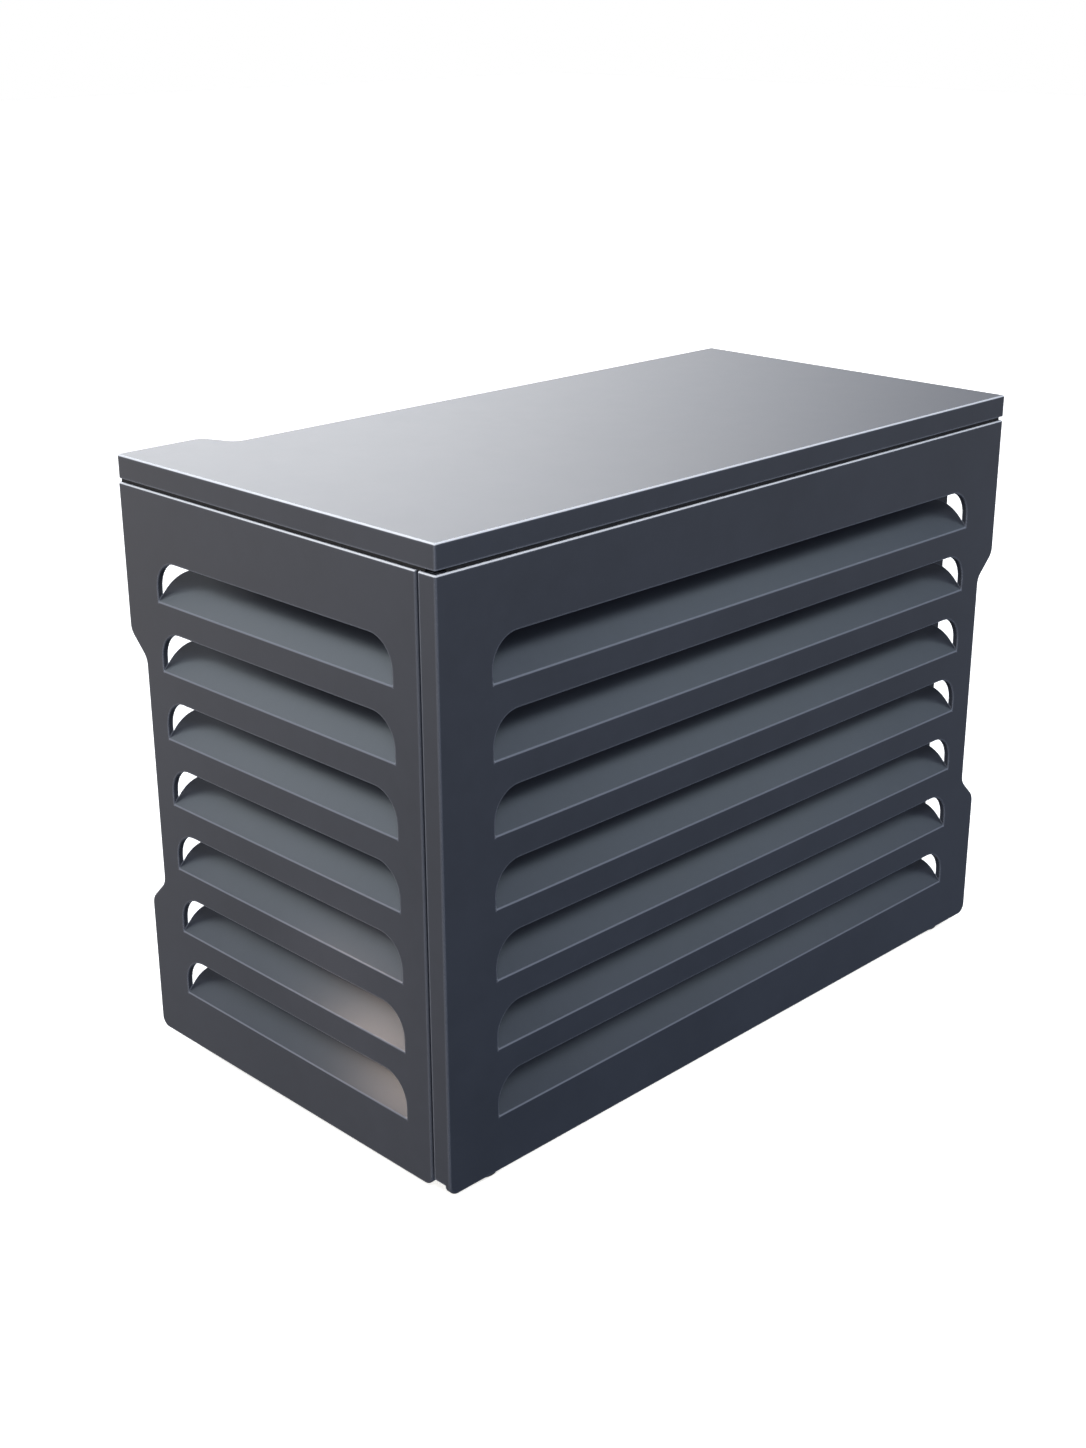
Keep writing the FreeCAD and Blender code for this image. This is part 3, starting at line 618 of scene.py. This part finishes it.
def squared(profile: Sequence[Ring], columns: int = 48, sharpness: float = 12.0) -> np.ndarray:
    """Rings of a rounded square part, in metres.

    At angle t the radius is half the side over (|cos t|^n + |sin t|^n)^(1/n), n being the sharpness.

    Args:
        profile: Rings in millimetres, with half the side as the radius.
        columns: Points on each ring.
        sharpness: How square the rings are.

    Returns:
        Points as (ring, place on the ring, coordinate).
    """
    half, height = np.array([tuple(ring)[:2] for ring in profile]).T[:, :, None]
    angle = np.linspace(0.0, 2 * np.pi, columns, endpoint=False)[None]
    across, up = np.cos(angle), np.sin(angle)
    reach = half / (np.abs(across) ** sharpness + np.abs(up) ** sharpness) ** (1 / sharpness)
    return np.stack([reach * across, reach * up, height + 0 * angle], axis=-1) * MM


def bead(length: float, width: float, height: float, ripples: int = 6) -> Skin:
    """Weld bead along x, in millimetres.

    An ellipsoid whose cross-section swells by a twelfth of the sine of the place along it, once for each
    ripple.

    Args:
        length: Whole length.
        width: Whole width.
        height: Whole thickness.
        ripples: Ripples along it.

    Returns:
        The bead's surface.
    """
    along = np.linspace(-0.97, 0.97, 4 * ripples)[:, None]
    angle = np.linspace(0.0, 2 * np.pi, 10, endpoint=False)[None]
    swell = np.sqrt(1 - along**2) * (1 + np.sin(along * np.pi * ripples) / 12)
    across, up = swell * np.cos(angle) * width / 2, swell * np.sin(angle) * height / 2
    return skin(np.stack([along * length / 2 + 0 * angle, across, up], axis=-1) * MM)


def bar(low: Sequence[float], high: Sequence[float], nose: float) -> Skin:
    """Strip with rounded long edges along its longest side.

    The cross-section is a rounded rectangle: each corner is a quarter circle of the nose's radius.

    Args:
        low: Lowest corner.
        high: Highest corner.
        nose: Radius of the rounding.

    Returns:
        The strip's surface.
    """
    low, high = np.asarray(low, float), np.asarray(high, float)
    run = int(np.argmax(high - low))
    first, second = (run + 1) % 3, (run + 2) % 3
    quarter = np.linspace(0.0, np.pi / 2, 4)
    angle = np.concatenate([quarter + k * np.pi / 2 for k in range(4)])
    signs = np.repeat([(1, 1), (-1, 1), (-1, -1), (1, -1)], len(quarter), axis=0)
    half = (high - low)[[first, second]] / 2 - nose
    outline = signs * half + nose * np.stack([np.cos(angle), np.sin(angle)], axis=1)
    ends = np.linspace(low[run], high[run], 40)
    rings = np.empty((len(ends), len(outline), 3))
    rings[..., run] = ends[:, None]
    rings[..., first] = outline[None, :, 0] + (low + high)[first] / 2
    rings[..., second] = outline[None, :, 1] + (low + high)[second] / 2
    return skin(rings)


class Workshop:
    """Makes each finish once, finds the places of the frame's solids and puts pieces on the object."""

    def __init__(self, frame: dict) -> None:
        """Makes the finishes.
        """
        self.frame = frame
        self.made = {finish: recipe.make() for finish, recipe in RECIPES.items()}
        self.slots = {part["node"]: part["material_slot"] for part in frame["record"]["subparts"]}

    def dress(self, piece: bpy.types.Object, finish: Finish) -> None:
        """Gives a piece one finish in place of whatever it has."""
        piece.data.materials.clear()
        piece.data.materials.append(self.made[finish])

    def dress_nodes(self) -> None:
        """Gives every CAD node the finish of its slot."""
        for name, node in self.frame["nodes"].items():
            self.dress(node, Finish(self.slots[name]))
            log.info("%s: %s", name, self.slots[name])

    def solids(self, node: str) -> list[np.ndarray]:
        """Points of each separate solid of a CAD node.

        Points at one place are one point, and each takes the lowest number among the points it is joined
        to by edges, over and over until no number changes.

        Args:
            node: Name of the node.

        Returns:
            The solids' points, in the order of their lowest numbers.
        """
        mesh = self.frame["nodes"][node].data
        points = np.empty(len(mesh.vertices) * 3)
        mesh.vertices.foreach_get("co", points)
        points = points.reshape(-1, 3)
        ends = np.empty(len(mesh.edges) * 2, int)
        mesh.edges.foreach_get("vertices", ends)
        same = np.unique(np.round(points / MERGE).astype(int), axis=0, return_inverse=True)[1].ravel()
        ends = same[ends].reshape(-1, 2)
        label, last = np.arange(same.max() + 1), None
        while last is None or (label != last).any():
            last = label.copy()
            lowest = np.minimum(last[ends[:, 0]], last[ends[:, 1]])
            np.minimum.at(label, ends[:, 0], lowest)
            np.minimum.at(label, ends[:, 1], lowest)
        return [points[label[same] == one] for one in np.unique(label)]

    def seats(self, node: str, upright: bool = False) -> list[Seat]:
        """A seat on each solid of a node.

        A turned solid's axis is the one along which its length isn't the same as the other two, and its
        head is the end where the points farthest from the axis lie. The seat is at the head's outer face
        and points into the solid.

        Args:
            node: Name of the node.
            upright: Puts the seats at the solids' lowest faces instead, pointing up.

        Returns:
            The seats.
        """
        found = []
        for points in self.solids(node):
            low, high = points.min(axis=0), points.max(axis=0)
            middle, size = (low + high) / 2, high - low
            axis, sign = 2, 1.0
            if not upright:
                axis = int(np.argmax(np.abs(size - np.median(size))))
                reach = np.linalg.norm(np.delete(points - middle, axis, axis=1), axis=1)
                head = points[reach > HEAD_SHARE * reach.max(), axis].mean()
                sign = 1.0 if head < middle[axis] else -1.0
            middle[axis] = low[axis] if sign > 0 else high[axis]
            found.append(seat(middle, axis, sign))
        return found

    def fit(
        self, name: str, shape: Skin, body: str, finish: Finish, nodes: Sequence[str] = ()
    ) -> None:
        """Puts a new piece on its body and slot and lets it stand for its nodes.

        Args:
            name: Name of the piece.
            shape: Its surface, in its place.
            body: Body that it rides on.
            finish: Finish, which is also its slot.
            nodes: CAD nodes that it stands for.
        """
        mesh = bpy.data.meshes.new(name)
        mesh.from_pydata(shape.points.tolist(), [], shape.faces)
        mesh.shade_smooth()
        mesh.set_sharp_from_angle(angle=math.radians(SMOOTH))
        piece = bpy.data.objects.new(name, mesh)
        bpy.context.scene.collection.objects.link(piece)
        self.dress(piece, finish)
        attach(piece, body)
        if nodes:
            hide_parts(*nodes)
        log.info("%s on %s: %d faces", piece.name, body, len(piece.data.polygons))


# ---------------- sub-assemblies


@dataclass
class Feet:
    """Rubber pads, threaded stems with a hexagon, lock nuts and the rails' inserts, in millimetres."""

    corners: tuple[str, ...] = ("front_left", "front_right", "rear_left", "rear_right")
    pitch: float = 1.5
    thread_depth: float = 0.92
    thread_start: float = 12.0
    thread_end: float = 43.0
    stem_radius: float = 5.0
    flutes: int = 24
    flute_depth: float = 0.7
    flute_low: float = 1.0
    flute_high: float = 5.2
    flute_fade: float = 1.2

    def build(self, shop: Workshop) -> None:
        """Makes the four feet, the nuts and the inserts."""
        for corner in self.corners:
            pad, stem, body = f"foot_pad_{corner}", f"foot_stem_{corner}", f"foot_{corner}"
            shape = self._pad().at(shop.seats(pad, upright=True))
            shop.fit(f"moulded_pad_{corner}", shape, body, Finish.FOOT_RUBBER, [pad])
            shape = self._stem().at(shop.seats(stem, upright=True))
            shop.fit(f"threaded_stem_{corner}", shape, body, Finish.ZINC_PLATE, [stem])
        nuts = self._nut().at(shop.seats("foot_lock_nuts", upright=True))
        shop.fit("chamfered_lock_nuts", nuts, "frame", Finish.ZINC_PLATE, ["foot_lock_nuts"])
        inserts = self._insert().at(shop.seats("foot_inserts", upright=True))
        shop.fit("flanged_inserts", inserts, "frame", Finish.ZINC_PLATE, ["foot_inserts"])

    def _pad(self) -> Skin:
        """Cone with a rolled rim, a hollow sole and flutes, whose dip is (half + half a cosine) squared."""
        profile = [
            Ring(14.0, 1.2), Ring(15.2, 1.0), Ring(16.2, 0.0), Ring(20.4, 0.0), Ring(21.5, 0.5),
            Ring(22.0, 1.6), Ring(22.0, 3.0), Ring(21.9, 4.2), Ring(20.9, 5.0), Ring(18.0, 6.5),
            Ring(14.5, 8.4), Ring(12.2, 10.0), Ring(10.6, 11.4), Ring(10.0, 12.4), Ring(10.0, 13.4),
            Ring(9.4, 14.0),
        ]
        rings = turned(profile, columns=6 * self.flutes)
        angle = np.arctan2(rings[..., 1], rings[..., 0])
        radius = np.hypot(rings[..., 0], rings[..., 1])
        height = rings[..., 2] / MM
        rise = np.clip((height - self.flute_low) / self.flute_fade, 0, 1)
        band = rise * np.clip((self.flute_high - height) / self.flute_fade, 0, 1)
        dip = self.flute_depth * MM * band * (0.5 + 0.5 * np.cos(self.flutes * angle)) ** 2
        rings[..., :2] *= (1 - dip / radius)[..., None]
        return skin(rings)

    def _stem(self) -> Skin:
        """Stem with a chamfered hexagon and a thread.

        On the thread the radius drops below the stem's by the depth times the triangle wave of height
        over pitch minus turns, faded in and out over one pitch.
        """
        lower = [
            Ring(4.6, 0.0), Ring(5.0, 0.4), Ring(5.0, 6.0), Ring(6.5, 6.0, 1, 6.7), Ring(6.5, 6.5, 1, 7.5),
            Ring(6.5, 10.5, 1, 7.5), Ring(6.5, 11.0, 1, 6.7), Ring(5.0, 11.05), Ring(5.0, 11.6),
        ]
        height = np.arange(self.thread_start, self.thread_end, self.pitch / 6)
        thread = turned([Ring(self.stem_radius, h) for h in height])
        angle = np.linspace(0.0, 1.0, thread.shape[1], endpoint=False)[None]
        wave = np.abs(2 * np.mod(height[:, None] / self.pitch - angle, 1.0) - 1)
        fade = np.clip(np.minimum(height - self.thread_start, self.thread_end - height) / self.pitch, 0, 1)
        drop = 1 - self.thread_depth / self.stem_radius * wave * fade[:, None]
        thread[..., :2] *= drop[..., None]
        upper = [Ring(4.6, 43.2), Ring(4.0, 44.0)]
        return skin(np.concatenate([turned(lower), thread, turned(upper)]))

    def _nut(self) -> Skin:
        """Hexagon nut with both faces chamfered and a countersunk bore."""
        profile = [
            Ring(5.2, 0.6), Ring(5.9, 0.0), Ring(8.3, 0.0, 1, 8.3), Ring(8.5, 0.8, 1, 9.81),
            Ring(8.5, 5.2, 1, 9.81), Ring(8.3, 6.0, 1, 8.3), Ring(5.9, 6.0), Ring(5.2, 5.4),
        ]
        return skin(turned(profile), looped=True)

    def _insert(self) -> Skin:
        """Flange with rounded edges under a barrel, with a bore."""
        profile = [
            Ring(5.2, 0.4), Ring(5.7, 0.0), Ring(9.6, 0.0), Ring(10.0, 0.4), Ring(10.0, 1.6),
            Ring(9.6, 2.0), Ring(7.2, 2.0), Ring(7.0, 2.3), Ring(7.0, 13.4), Ring(6.5, 14.0),
            Ring(5.7, 14.0), Ring(5.2, 13.6),
        ]
        return skin(turned(profile), looped=True)


@dataclass
class Screws:
    """Button-head screws with a hexagon socket, in millimetres."""

    head_radius: float = 4.5
    head_height: float = 2.6
    socket_half: float = 1.25
    socket_depth: float = 1.6
    length: float = 11.4

    def build(self, shop: Workshop) -> None:
        """Makes the brackets' screws and the wall brackets' screws."""
        shape = self._screw()
        names = {"bracket_screws": "button_screws", "wall_bracket_screws": "wall_button_screws"}
        for node, name in names.items():
            shop.fit(name, shape.at(shop.seats(node)), "frame", Finish.STAINLESS, [node])

    def _screw(self) -> Skin:
        """Screw from the bottom of its socket, over the domed head, to the end of its shank.

        The dome is a sphere's cap: at radius r it lies R - root(R² - r²) below the crown.
        """
        crown = (self.head_radius**2 + self.head_height**2) / (2 * self.head_height)
        half, deep = self.socket_half, self.socket_depth
        socket = [
            Ring(0.3, deep + 0.25), Ring(half * 0.9, deep, 1), Ring(half, deep - 0.1, 1),
            Ring(half, 0.42, 1), Ring(half + 0.22, 0.24, 0.6),
        ]
        radii = (1.75, 2.1, 2.6, 3.1, 3.6, 4.0, 4.3, 4.47)
        dome = [Ring(r, crown - math.sqrt(crown**2 - r**2)) for r in radii]
        shank = [
            Ring(4.4, self.head_height), Ring(2.3, self.head_height), Ring(2.3, self.length - 0.6),
            Ring(1.8, self.length),
        ]
        return skin(turned([*socket, *dome, *shank]))


@dataclass
class SnapMounts:
    """Ball studs welded inside the two panels and the snap sockets in the rails, in millimetres."""

    ball_radius: float = 4.0
    ball_height: float = 12.5
    neck_radius: float = 2.5
    bore_radius: float = 4.3
    ripples: int = 9
    ripple_depth: float = 0.006  # share of the weld ring's radius
    grooves: int = 4
    groove_depth: float = 0.8
    groove_reach: float = 8.4

    def build(self, shop: Workshop) -> None:
        """Makes both panels' studs and their sockets."""
        for panel in ("front_panel", "side_panel"):
            studs, sockets = f"{panel}_studs", f"{panel}_sockets"
            shape = self._stud().at(shop.seats(studs))
            shop.fit(f"{panel}_ball_studs", shape, panel, Finish.STAINLESS, [studs])
            shape = self._socket().at(shop.seats(sockets))
            shop.fit(f"{panel}_snap_sockets", shape, "frame", Finish.NYLON, [sockets])

    def _stud(self) -> Skin:
        """Base with a rippled weld ring, a filleted neck and a ball, with radius R sin a at R cos a."""
        start = math.asin(self.neck_radius / self.ball_radius)
        turn = np.linspace(start, math.radians(171.0), 14)
        radius, height, neck = self.ball_radius, self.ball_height, self.neck_radius
        ball = [Ring(radius * math.sin(a), height - radius * math.cos(a)) for a in turn]
        base = [
            Ring(8.7, 0.0), Ring(8.95, 0.35), Ring(8.7, 0.9), Ring(8.2, 1.15), Ring(8.1, 1.7),
            Ring(7.8, 2.0), Ring(4.0, 2.0), Ring(3.2, 2.25), Ring(2.7, 2.9), Ring(neck, 3.9),
            Ring(neck, 8.8),
        ]
        rings = turned([*base, *ball])
        angle = np.arctan2(rings[:3, :, 1], rings[:3, :, 0])
        rings[:3, :, :2] *= (1 + self.ripple_depth * np.sin(self.ripples * angle))[..., None]
        return skin(rings)

    def _socket(self) -> Skin:
        """Flanged socket from the floor of its bore to its spigot's end, with grooves across the mouth."""
        bore = self.bore_radius
        profile = [
            Ring(3.4, 9.0), Ring(bore, 8.3), Ring(bore, 1.4), Ring(bore + 0.7, 0.3), Ring(5.4, 0.0),
            Ring(6.2, 0.0), Ring(7.4, 0.0), Ring(8.2, 0.0), Ring(8.6, 0.0), Ring(10.4, 0.0),
            Ring(10.85, 0.2), Ring(11.0, 0.7), Ring(11.0, 2.0), Ring(6.2, 2.0), Ring(6.0, 2.3),
            Ring(6.0, 9.8), Ring(5.2, 11.0),
        ]
        rings = turned(profile, columns=48)
        angle = np.arctan2(rings[..., 1], rings[..., 0])
        across = np.cos(self.grooves * angle) > 0.9
        radius = np.hypot(rings[..., 0], rings[..., 1]) / MM
        mouth = np.zeros(len(profile), bool)
        mouth[4:8] = True
        sunk = across & mouth[:, None] & (radius < self.groove_reach)
        rings[..., 2] += self.groove_depth * MM * sunk
        return skin(rings)


@dataclass
class LidMounts:
    """Locating pegs, their towers on the rails, the channels' welds and the seals inside the lid's rim.

    Rings, ribs and beads are in millimetres; the places of welds and seals are in metres.
    """

    ribs: int = 6
    rib_height: float = 0.7
    weld: Triple = (16.0, 3.0, 1.8)
    welds_per_side: int = 5
    weld_margin: float = 0.04
    weld_drop: float = 0.0006
    seal_inset: float = 0.0035
    seal_width: float = 0.003
    seal_depth: float = 0.0085
    seal_reach: float = 0.012
    seal_start: float = 0.02
    seal_rear: float = 0.0025
    seal_right: float = 0.006
    seal_nose: float = 0.001

    def build(self, shop: Workshop) -> None:
        """Makes the pegs, towers, welds and seals."""
        pegs = self._peg().at(shop.seats("lid_pegs"))
        shop.fit("lid_locating_pegs", pegs, "lid", Finish.STAINLESS, ["lid_pegs"])
        towers = self._tower().at(shop.seats("lid_sockets", upright=True))
        shop.fit("lid_peg_towers", towers, "frame", Finish.NYLON, ["lid_sockets"])
        shop.fit("lid_channel_welds", self._welds(), "lid", Finish.HOUSING_PAINT)
        self._seals(shop)

    def _peg(self) -> Skin:
        """Domed head and a grooved shank, whose tip is a quarter circle of half the shank's radius."""
        tip = [Ring(2.5 + 2.5 * math.cos(a), 20.0 + 2.5 * math.sin(a)) for a in np.linspace(0.0, 1.5, 7)]
        profile = [
            Ring(7.6, 0.0), Ring(8.6, 0.25), Ring(9.0, 0.9), Ring(9.0, 2.7), Ring(8.7, 3.0), Ring(5.6, 3.0),
            Ring(5.0, 3.5), Ring(5.0, 14.0), Ring(4.6, 14.4), Ring(4.6, 15.4), Ring(5.0, 15.8), *tip,
        ]
        return skin(turned(profile))

    def _tower(self) -> Skin:
        """Flanged tower with a bore and upright ribs, which stand out where cos(ribs * angle) is high."""
        profile = [
            Ring(6.2, 0.0), Ring(7.0, 1.0), Ring(7.0, 8.0), Ring(14.0, 8.0), Ring(14.5, 8.5),
            Ring(14.5, 10.5), Ring(14.0, 11.0), Ring(11.4, 11.2), Ring(10.3, 11.9), Ring(10.0, 13.0),
            Ring(10.0, 22.3), Ring(9.3, 23.2), Ring(6.9, 23.2), Ring(5.3, 21.8), Ring(5.3, 3.5),
            Ring(4.4, 3.2),
        ]
        rings = turned(profile, columns=72)
        angle = np.arctan2(rings[8:12, :, 1], rings[8:12, :, 0])
        inset = 1 - self.rib_height / 10.0 * (np.cos(self.ribs * angle) < 0.5)
        rings[8:12, :, :2] *= inset[..., None]
        return skin(rings)

    def _welds(self) -> Skin:
        """Beads along both edges of each channel under the lid's sheet."""
        seats = []
        for channel in ("lid_channel_left", "lid_channel_right"):
            low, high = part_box(channel)
            first, last = low.y + self.weld_margin, high.y - self.weld_margin
            for x in (low.x, high.x):
                for y in np.linspace(first, last, self.welds_per_side):
                    seats.append(seat((x, y, high.z - self.weld_drop), 2))
        length, width, height = self.weld
        quarter = np.array([[0.0, 1.0, 0.0], [-1.0, 0.0, 0.0], [0.0, 0.0, 1.0]])
        straight = bead(length, width, height)
        return Skin(straight.points @ quarter, straight.faces).at(seats)

    def _seals(self, shop: Workshop) -> None:
        """Foam strips inside the lid's rim that close the gap over the two louvred panels."""
        low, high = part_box("lid")
        top = low.z + self.seal_reach
        inner = self.seal_inset + self.seal_width
        side = bar(
            (low.x + self.seal_inset, low.y + self.seal_start, low.z - self.seal_depth),
            (low.x + inner, high.y - self.seal_rear, top),
            self.seal_nose,
        )
        front = bar(
            (low.x + self.seal_start, low.y + self.seal_inset, low.z - self.seal_depth),
            (high.x - self.seal_right, low.y + inner, top),
            self.seal_nose,
        )
        shop.fit("lid_seal_side", side, "lid", Finish.FOOT_RUBBER)
        shop.fit("lid_seal_front", front, "lid", Finish.FOOT_RUBBER)


@dataclass
class TubeEnds:
    """Moulded caps in the long rails' ends, in millimetres."""

    half: float = 15.0

    def build(self, shop: Workshop) -> None:
        """Makes the eight caps."""
        profile = [
            Ring(8.0, 0.5), Ring(10.2, 0.45), Ring(11.2, 0.1), Ring(12.2, 0.0), Ring(self.half - 0.9, 0.0),
            Ring(self.half - 0.25, 0.25), Ring(self.half, 0.9), Ring(self.half, 1.8), Ring(12.5, 1.8),
            Ring(12.3, 2.2), Ring(12.3, 13.2), Ring(11.6, 13.8),
        ]
        caps = skin(squared(profile)).at(shop.seats("tube_end_caps"))
        shop.fit("moulded_end_caps", caps, "frame", Finish.NYLON, ["tube_end_caps"])


@dataclass
class Ribs:
    """Weld beads that hold the ribs in the panels: beads in millimetres, the strips' places in metres."""

    weld: Triple = (14.0, 3.0, 1.8)
    weld_sink: float = 0.0002
    strip_start: float = 0.159
    strip_pitch: float = 0.094
    strips: int = 6

    def build(self, shop: Workshop) -> None:
        """Makes the beads of both panels' ribs."""
        front = self._beads(("front_rib_left", "front_rib_right"), across=0, inwards=1)
        side = self._beads(("side_rib",), across=1, inwards=0)
        shop.fit("front_rib_welds", front, "front_panel", Finish.HOUSING_PAINT)
        shop.fit("side_rib_welds", side, "side_panel", Finish.HOUSING_PAINT)

    def _beads(self, ribs: Sequence[str], across: int, inwards: int) -> Skin:
        """Beads on both sides of each rib, one on every strip between two slots.

        Args:
            ribs: Names of the ribs.
            across: Axis along the panel.
            inwards: Axis through the panel.

        Returns:
            The beads, upright along the ribs' feet.
        """
        heights = self.strip_start + self.strip_pitch * np.arange(self.strips)
        turn = np.zeros((3, 3))
        turn[2, 0], turn[across, 1], turn[inwards, 2] = 1.0, 1.0, 1.0
        if np.linalg.det(turn) < 0:
            turn[across, 1] = -1.0
        seats = []
        for rib in ribs:
            low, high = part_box(rib)
            for side in (low[across], high[across]):
                for height in heights:
                    origin = np.empty(3)
                    origin[across], origin[2] = side, height
                    origin[inwards] = low[inwards] + self.weld_sink
                    seats.append(Seat(origin, turn))
        return bead(*self.weld).at(seats)


# ---------------- stage, light and camera


@dataclass(frozen=True)
class Softbox:
    """Rectangular light: its centre, the point that it faces, its size in metres, watts and degrees."""

    name: str
    place: Triple
    aim: Triple
    size: tuple[float, float]
    power: float
    colour: Colour = (1.0, 1.0, 1.0)
    spread: float = 180.0

    def hang(self) -> None:
        """Makes the light, unseen by the camera."""
        lamp = bpy.data.lights.new(self.name, "AREA")
        lamp.shape = "RECTANGLE"
        lamp.size, lamp.size_y = self.size
        lamp.energy = self.power
        lamp.color = self.colour
        lamp.spread = math.radians(self.spread)
        light = bpy.data.objects.new(self.name, lamp)
        light.location = self.place
        light.rotation_mode = "QUATERNION"
        light.rotation_quaternion = (Vector(self.aim) - Vector(self.place)).to_track_quat("-Z", "Y")
        light.visible_camera = False
        bpy.context.scene.collection.objects.link(light)


SOFTBOXES = (
    Softbox("key", (-2.1, -2.3, 3.5), (-0.1, -0.1, 0.4), (1.2, 1.2), 85.0),
    Softbox("left_box", (-2.2, 2.6, 2.7), (-0.5, 0.0, 0.4), (1.3, 1.7), 26.0, (0.84, 0.95, 1.0)),
    Softbox("right_box", (2.6, -2.0, 2.55), (0.0, -0.3, 0.4), (1.3, 1.7), 16.0, (0.78, 0.92, 1.0)),
    Softbox(
        "warm_card", (-0.79, 0.07, 0.35), (-0.53, -0.22, 0.12), (0.12, 0.12), 0.085, (1.0, 0.8, 0.68), 70
    ),
)


@dataclass
class Studio:
    """White floor and backdrop, soft lights and the camera, in metres and degrees.

    Room colours are for the right and near side, then the left and far side; the lit panel's are for its
    lower and upper part.
    """

    floor_size: float = 40.0
    floor_colour: Colour = (0.9, 0.9, 0.9)
    floor_glow: Colour = (1.0, 0.98, 0.93)
    floor_strength: float = 0.75
    below: tuple[Colour, Colour] = ((0.10, 0.14, 0.22), (0.34, 0.34, 0.36))
    above: tuple[Colour, Colour] = ((0.20, 0.25, 0.36), (0.40, 0.43, 0.50))
    level: tuple[Colour, Colour] = ((0.42, 0.43, 0.47), (1.02, 0.96, 0.93))
    lit_panel: tuple[Colour, Colour] = ((2.6, 2.65, 2.75), (3.7, 3.75, 3.85))
    lens: float = 48.79
    sensor: float = 36.0
    viewpoint: Triple = (-1.8945, -1.8186, 1.3961)
    azimuth: float = 44.8167  # from +Y towards +X
    elevation: float = 20.914  # downwards
    roll: float = -0.245

    def build(self) -> None:
        """Makes the floor, the world, the lights and the camera."""
        self._floor()
        self._world()
        for softbox in SOFTBOXES:
            softbox.hang()
        self._camera()
        bpy.context.scene.view_settings.view_transform = "Standard"

    def _floor(self) -> None:
        """Level square under the feet, which neither mirrors in the housing nor lights it."""
        half = self.floor_size / 2
        mesh = bpy.data.meshes.new("floor")
        corners = [(-half, -half, 0), (half, -half, 0), (half, half, 0), (-half, half, 0)]
        mesh.from_pydata(corners, [], [(0, 1, 2, 3)])
        floor = bpy.data.objects.new("floor", mesh)
        bpy.context.scene.collection.objects.link(floor)
        material, sheet = new_sheet("pale floor")
        sheet.surface(
            Base_Color=self.floor_colour,
            Roughness=0.9,
            Emission_Color=self.floor_glow,
            Emission_Strength=self.floor_strength,
        )
        mesh.materials.append(material)
        floor.visible_glossy = False
        floor.visible_diffuse = False

    def _world(self) -> None:
        """White to the camera; to the housing, a grey room with a lit panel that the lid mirrors."""
        world = bpy.data.worlds.new("white studio")
        bpy.context.scene.world = world
        world.use_nodes = True
        sheet = NodeSheet(world.node_tree)
        where = sheet.add("TexCoord").outputs["Generated"]
        split = sheet.add("SeparateXYZ", None, {0: where})
        across, along, up = (Value(sheet, out) for out in split.outputs)
        left = ((along - across) * 0.7).ramp(-0.9, 0.9)
        behind = (along + across).ramp(0.5, 1.1) * up.ramp(-0.04, 0.06) * up.ramp(0.98, 0.85)
        backdrop = (along - across + up.ramp(0.4, 0.75) * 0.8).ramp(-0.42, 0.26) * behind
        horizon = up.ramp(-0.58, -0.12) * up.ramp(0.4, 0.0)
        below = sheet.mix(left, *self.below)
        above = sheet.mix(left, *self.above)
        level = sheet.mix(left, *self.level)
        room = sheet.mix(up.ramp(-0.5, 0.4), below, above)
        room = sheet.mix(horizon, room, level)
        panel = sheet.mix(up.ramp(0.16, 0.42), *self.lit_panel)
        room = sheet.mix(backdrop, room, panel)
        straight = sheet.add("LightPath").outputs["Is Camera Ray"]
        colour = sheet.mix(straight, room, (1.0, 1.0, 1.0))
        shader = sheet.add("Background", None, {"Color": colour, "Strength": 1.0})
        sheet.add("OutputWorld", None, {"Surface": shader.outputs[0]})

    def _camera(self) -> None:
        """Camera above the near corner, at the height of a standing person's chest."""
        camera = bpy.data.objects.new("camera", bpy.data.cameras.new("camera"))
        bpy.context.scene.collection.objects.link(camera)
        camera.data.lens = self.lens
        camera.data.sensor_width = self.sensor
        camera.location = self.viewpoint
        azimuth, elevation, roll = (math.radians(a) for a in (self.azimuth, self.elevation, self.roll))
        level = math.cos(elevation)
        ahead = Vector((math.sin(azimuth) * level, math.cos(azimuth) * level, -math.sin(elevation)))
        camera.rotation_mode = "QUATERNION"
        turn = ahead.to_track_quat("-Z", "Y")
        camera.rotation_quaternion = turn @ Euler((0.0, 0.0, roll)).to_quaternion()
        bpy.context.scene.camera = camera


# ---------------- assembly


def main() -> None:
    """Builds every sub-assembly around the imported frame."""
    logging.basicConfig(level=logging.INFO, format="%(name)s: %(message)s")
    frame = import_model()
    workshop = Workshop(frame)
    workshop.dress_nodes()
    for assembly in (Feet(), Screws(), SnapMounts(), LidMounts(), TubeEnds(), Ribs()):
        log.info("building %s", type(assembly).__name__)
        assembly.build(workshop)
    Studio().build()


if __name__ == "__main__":
    main()
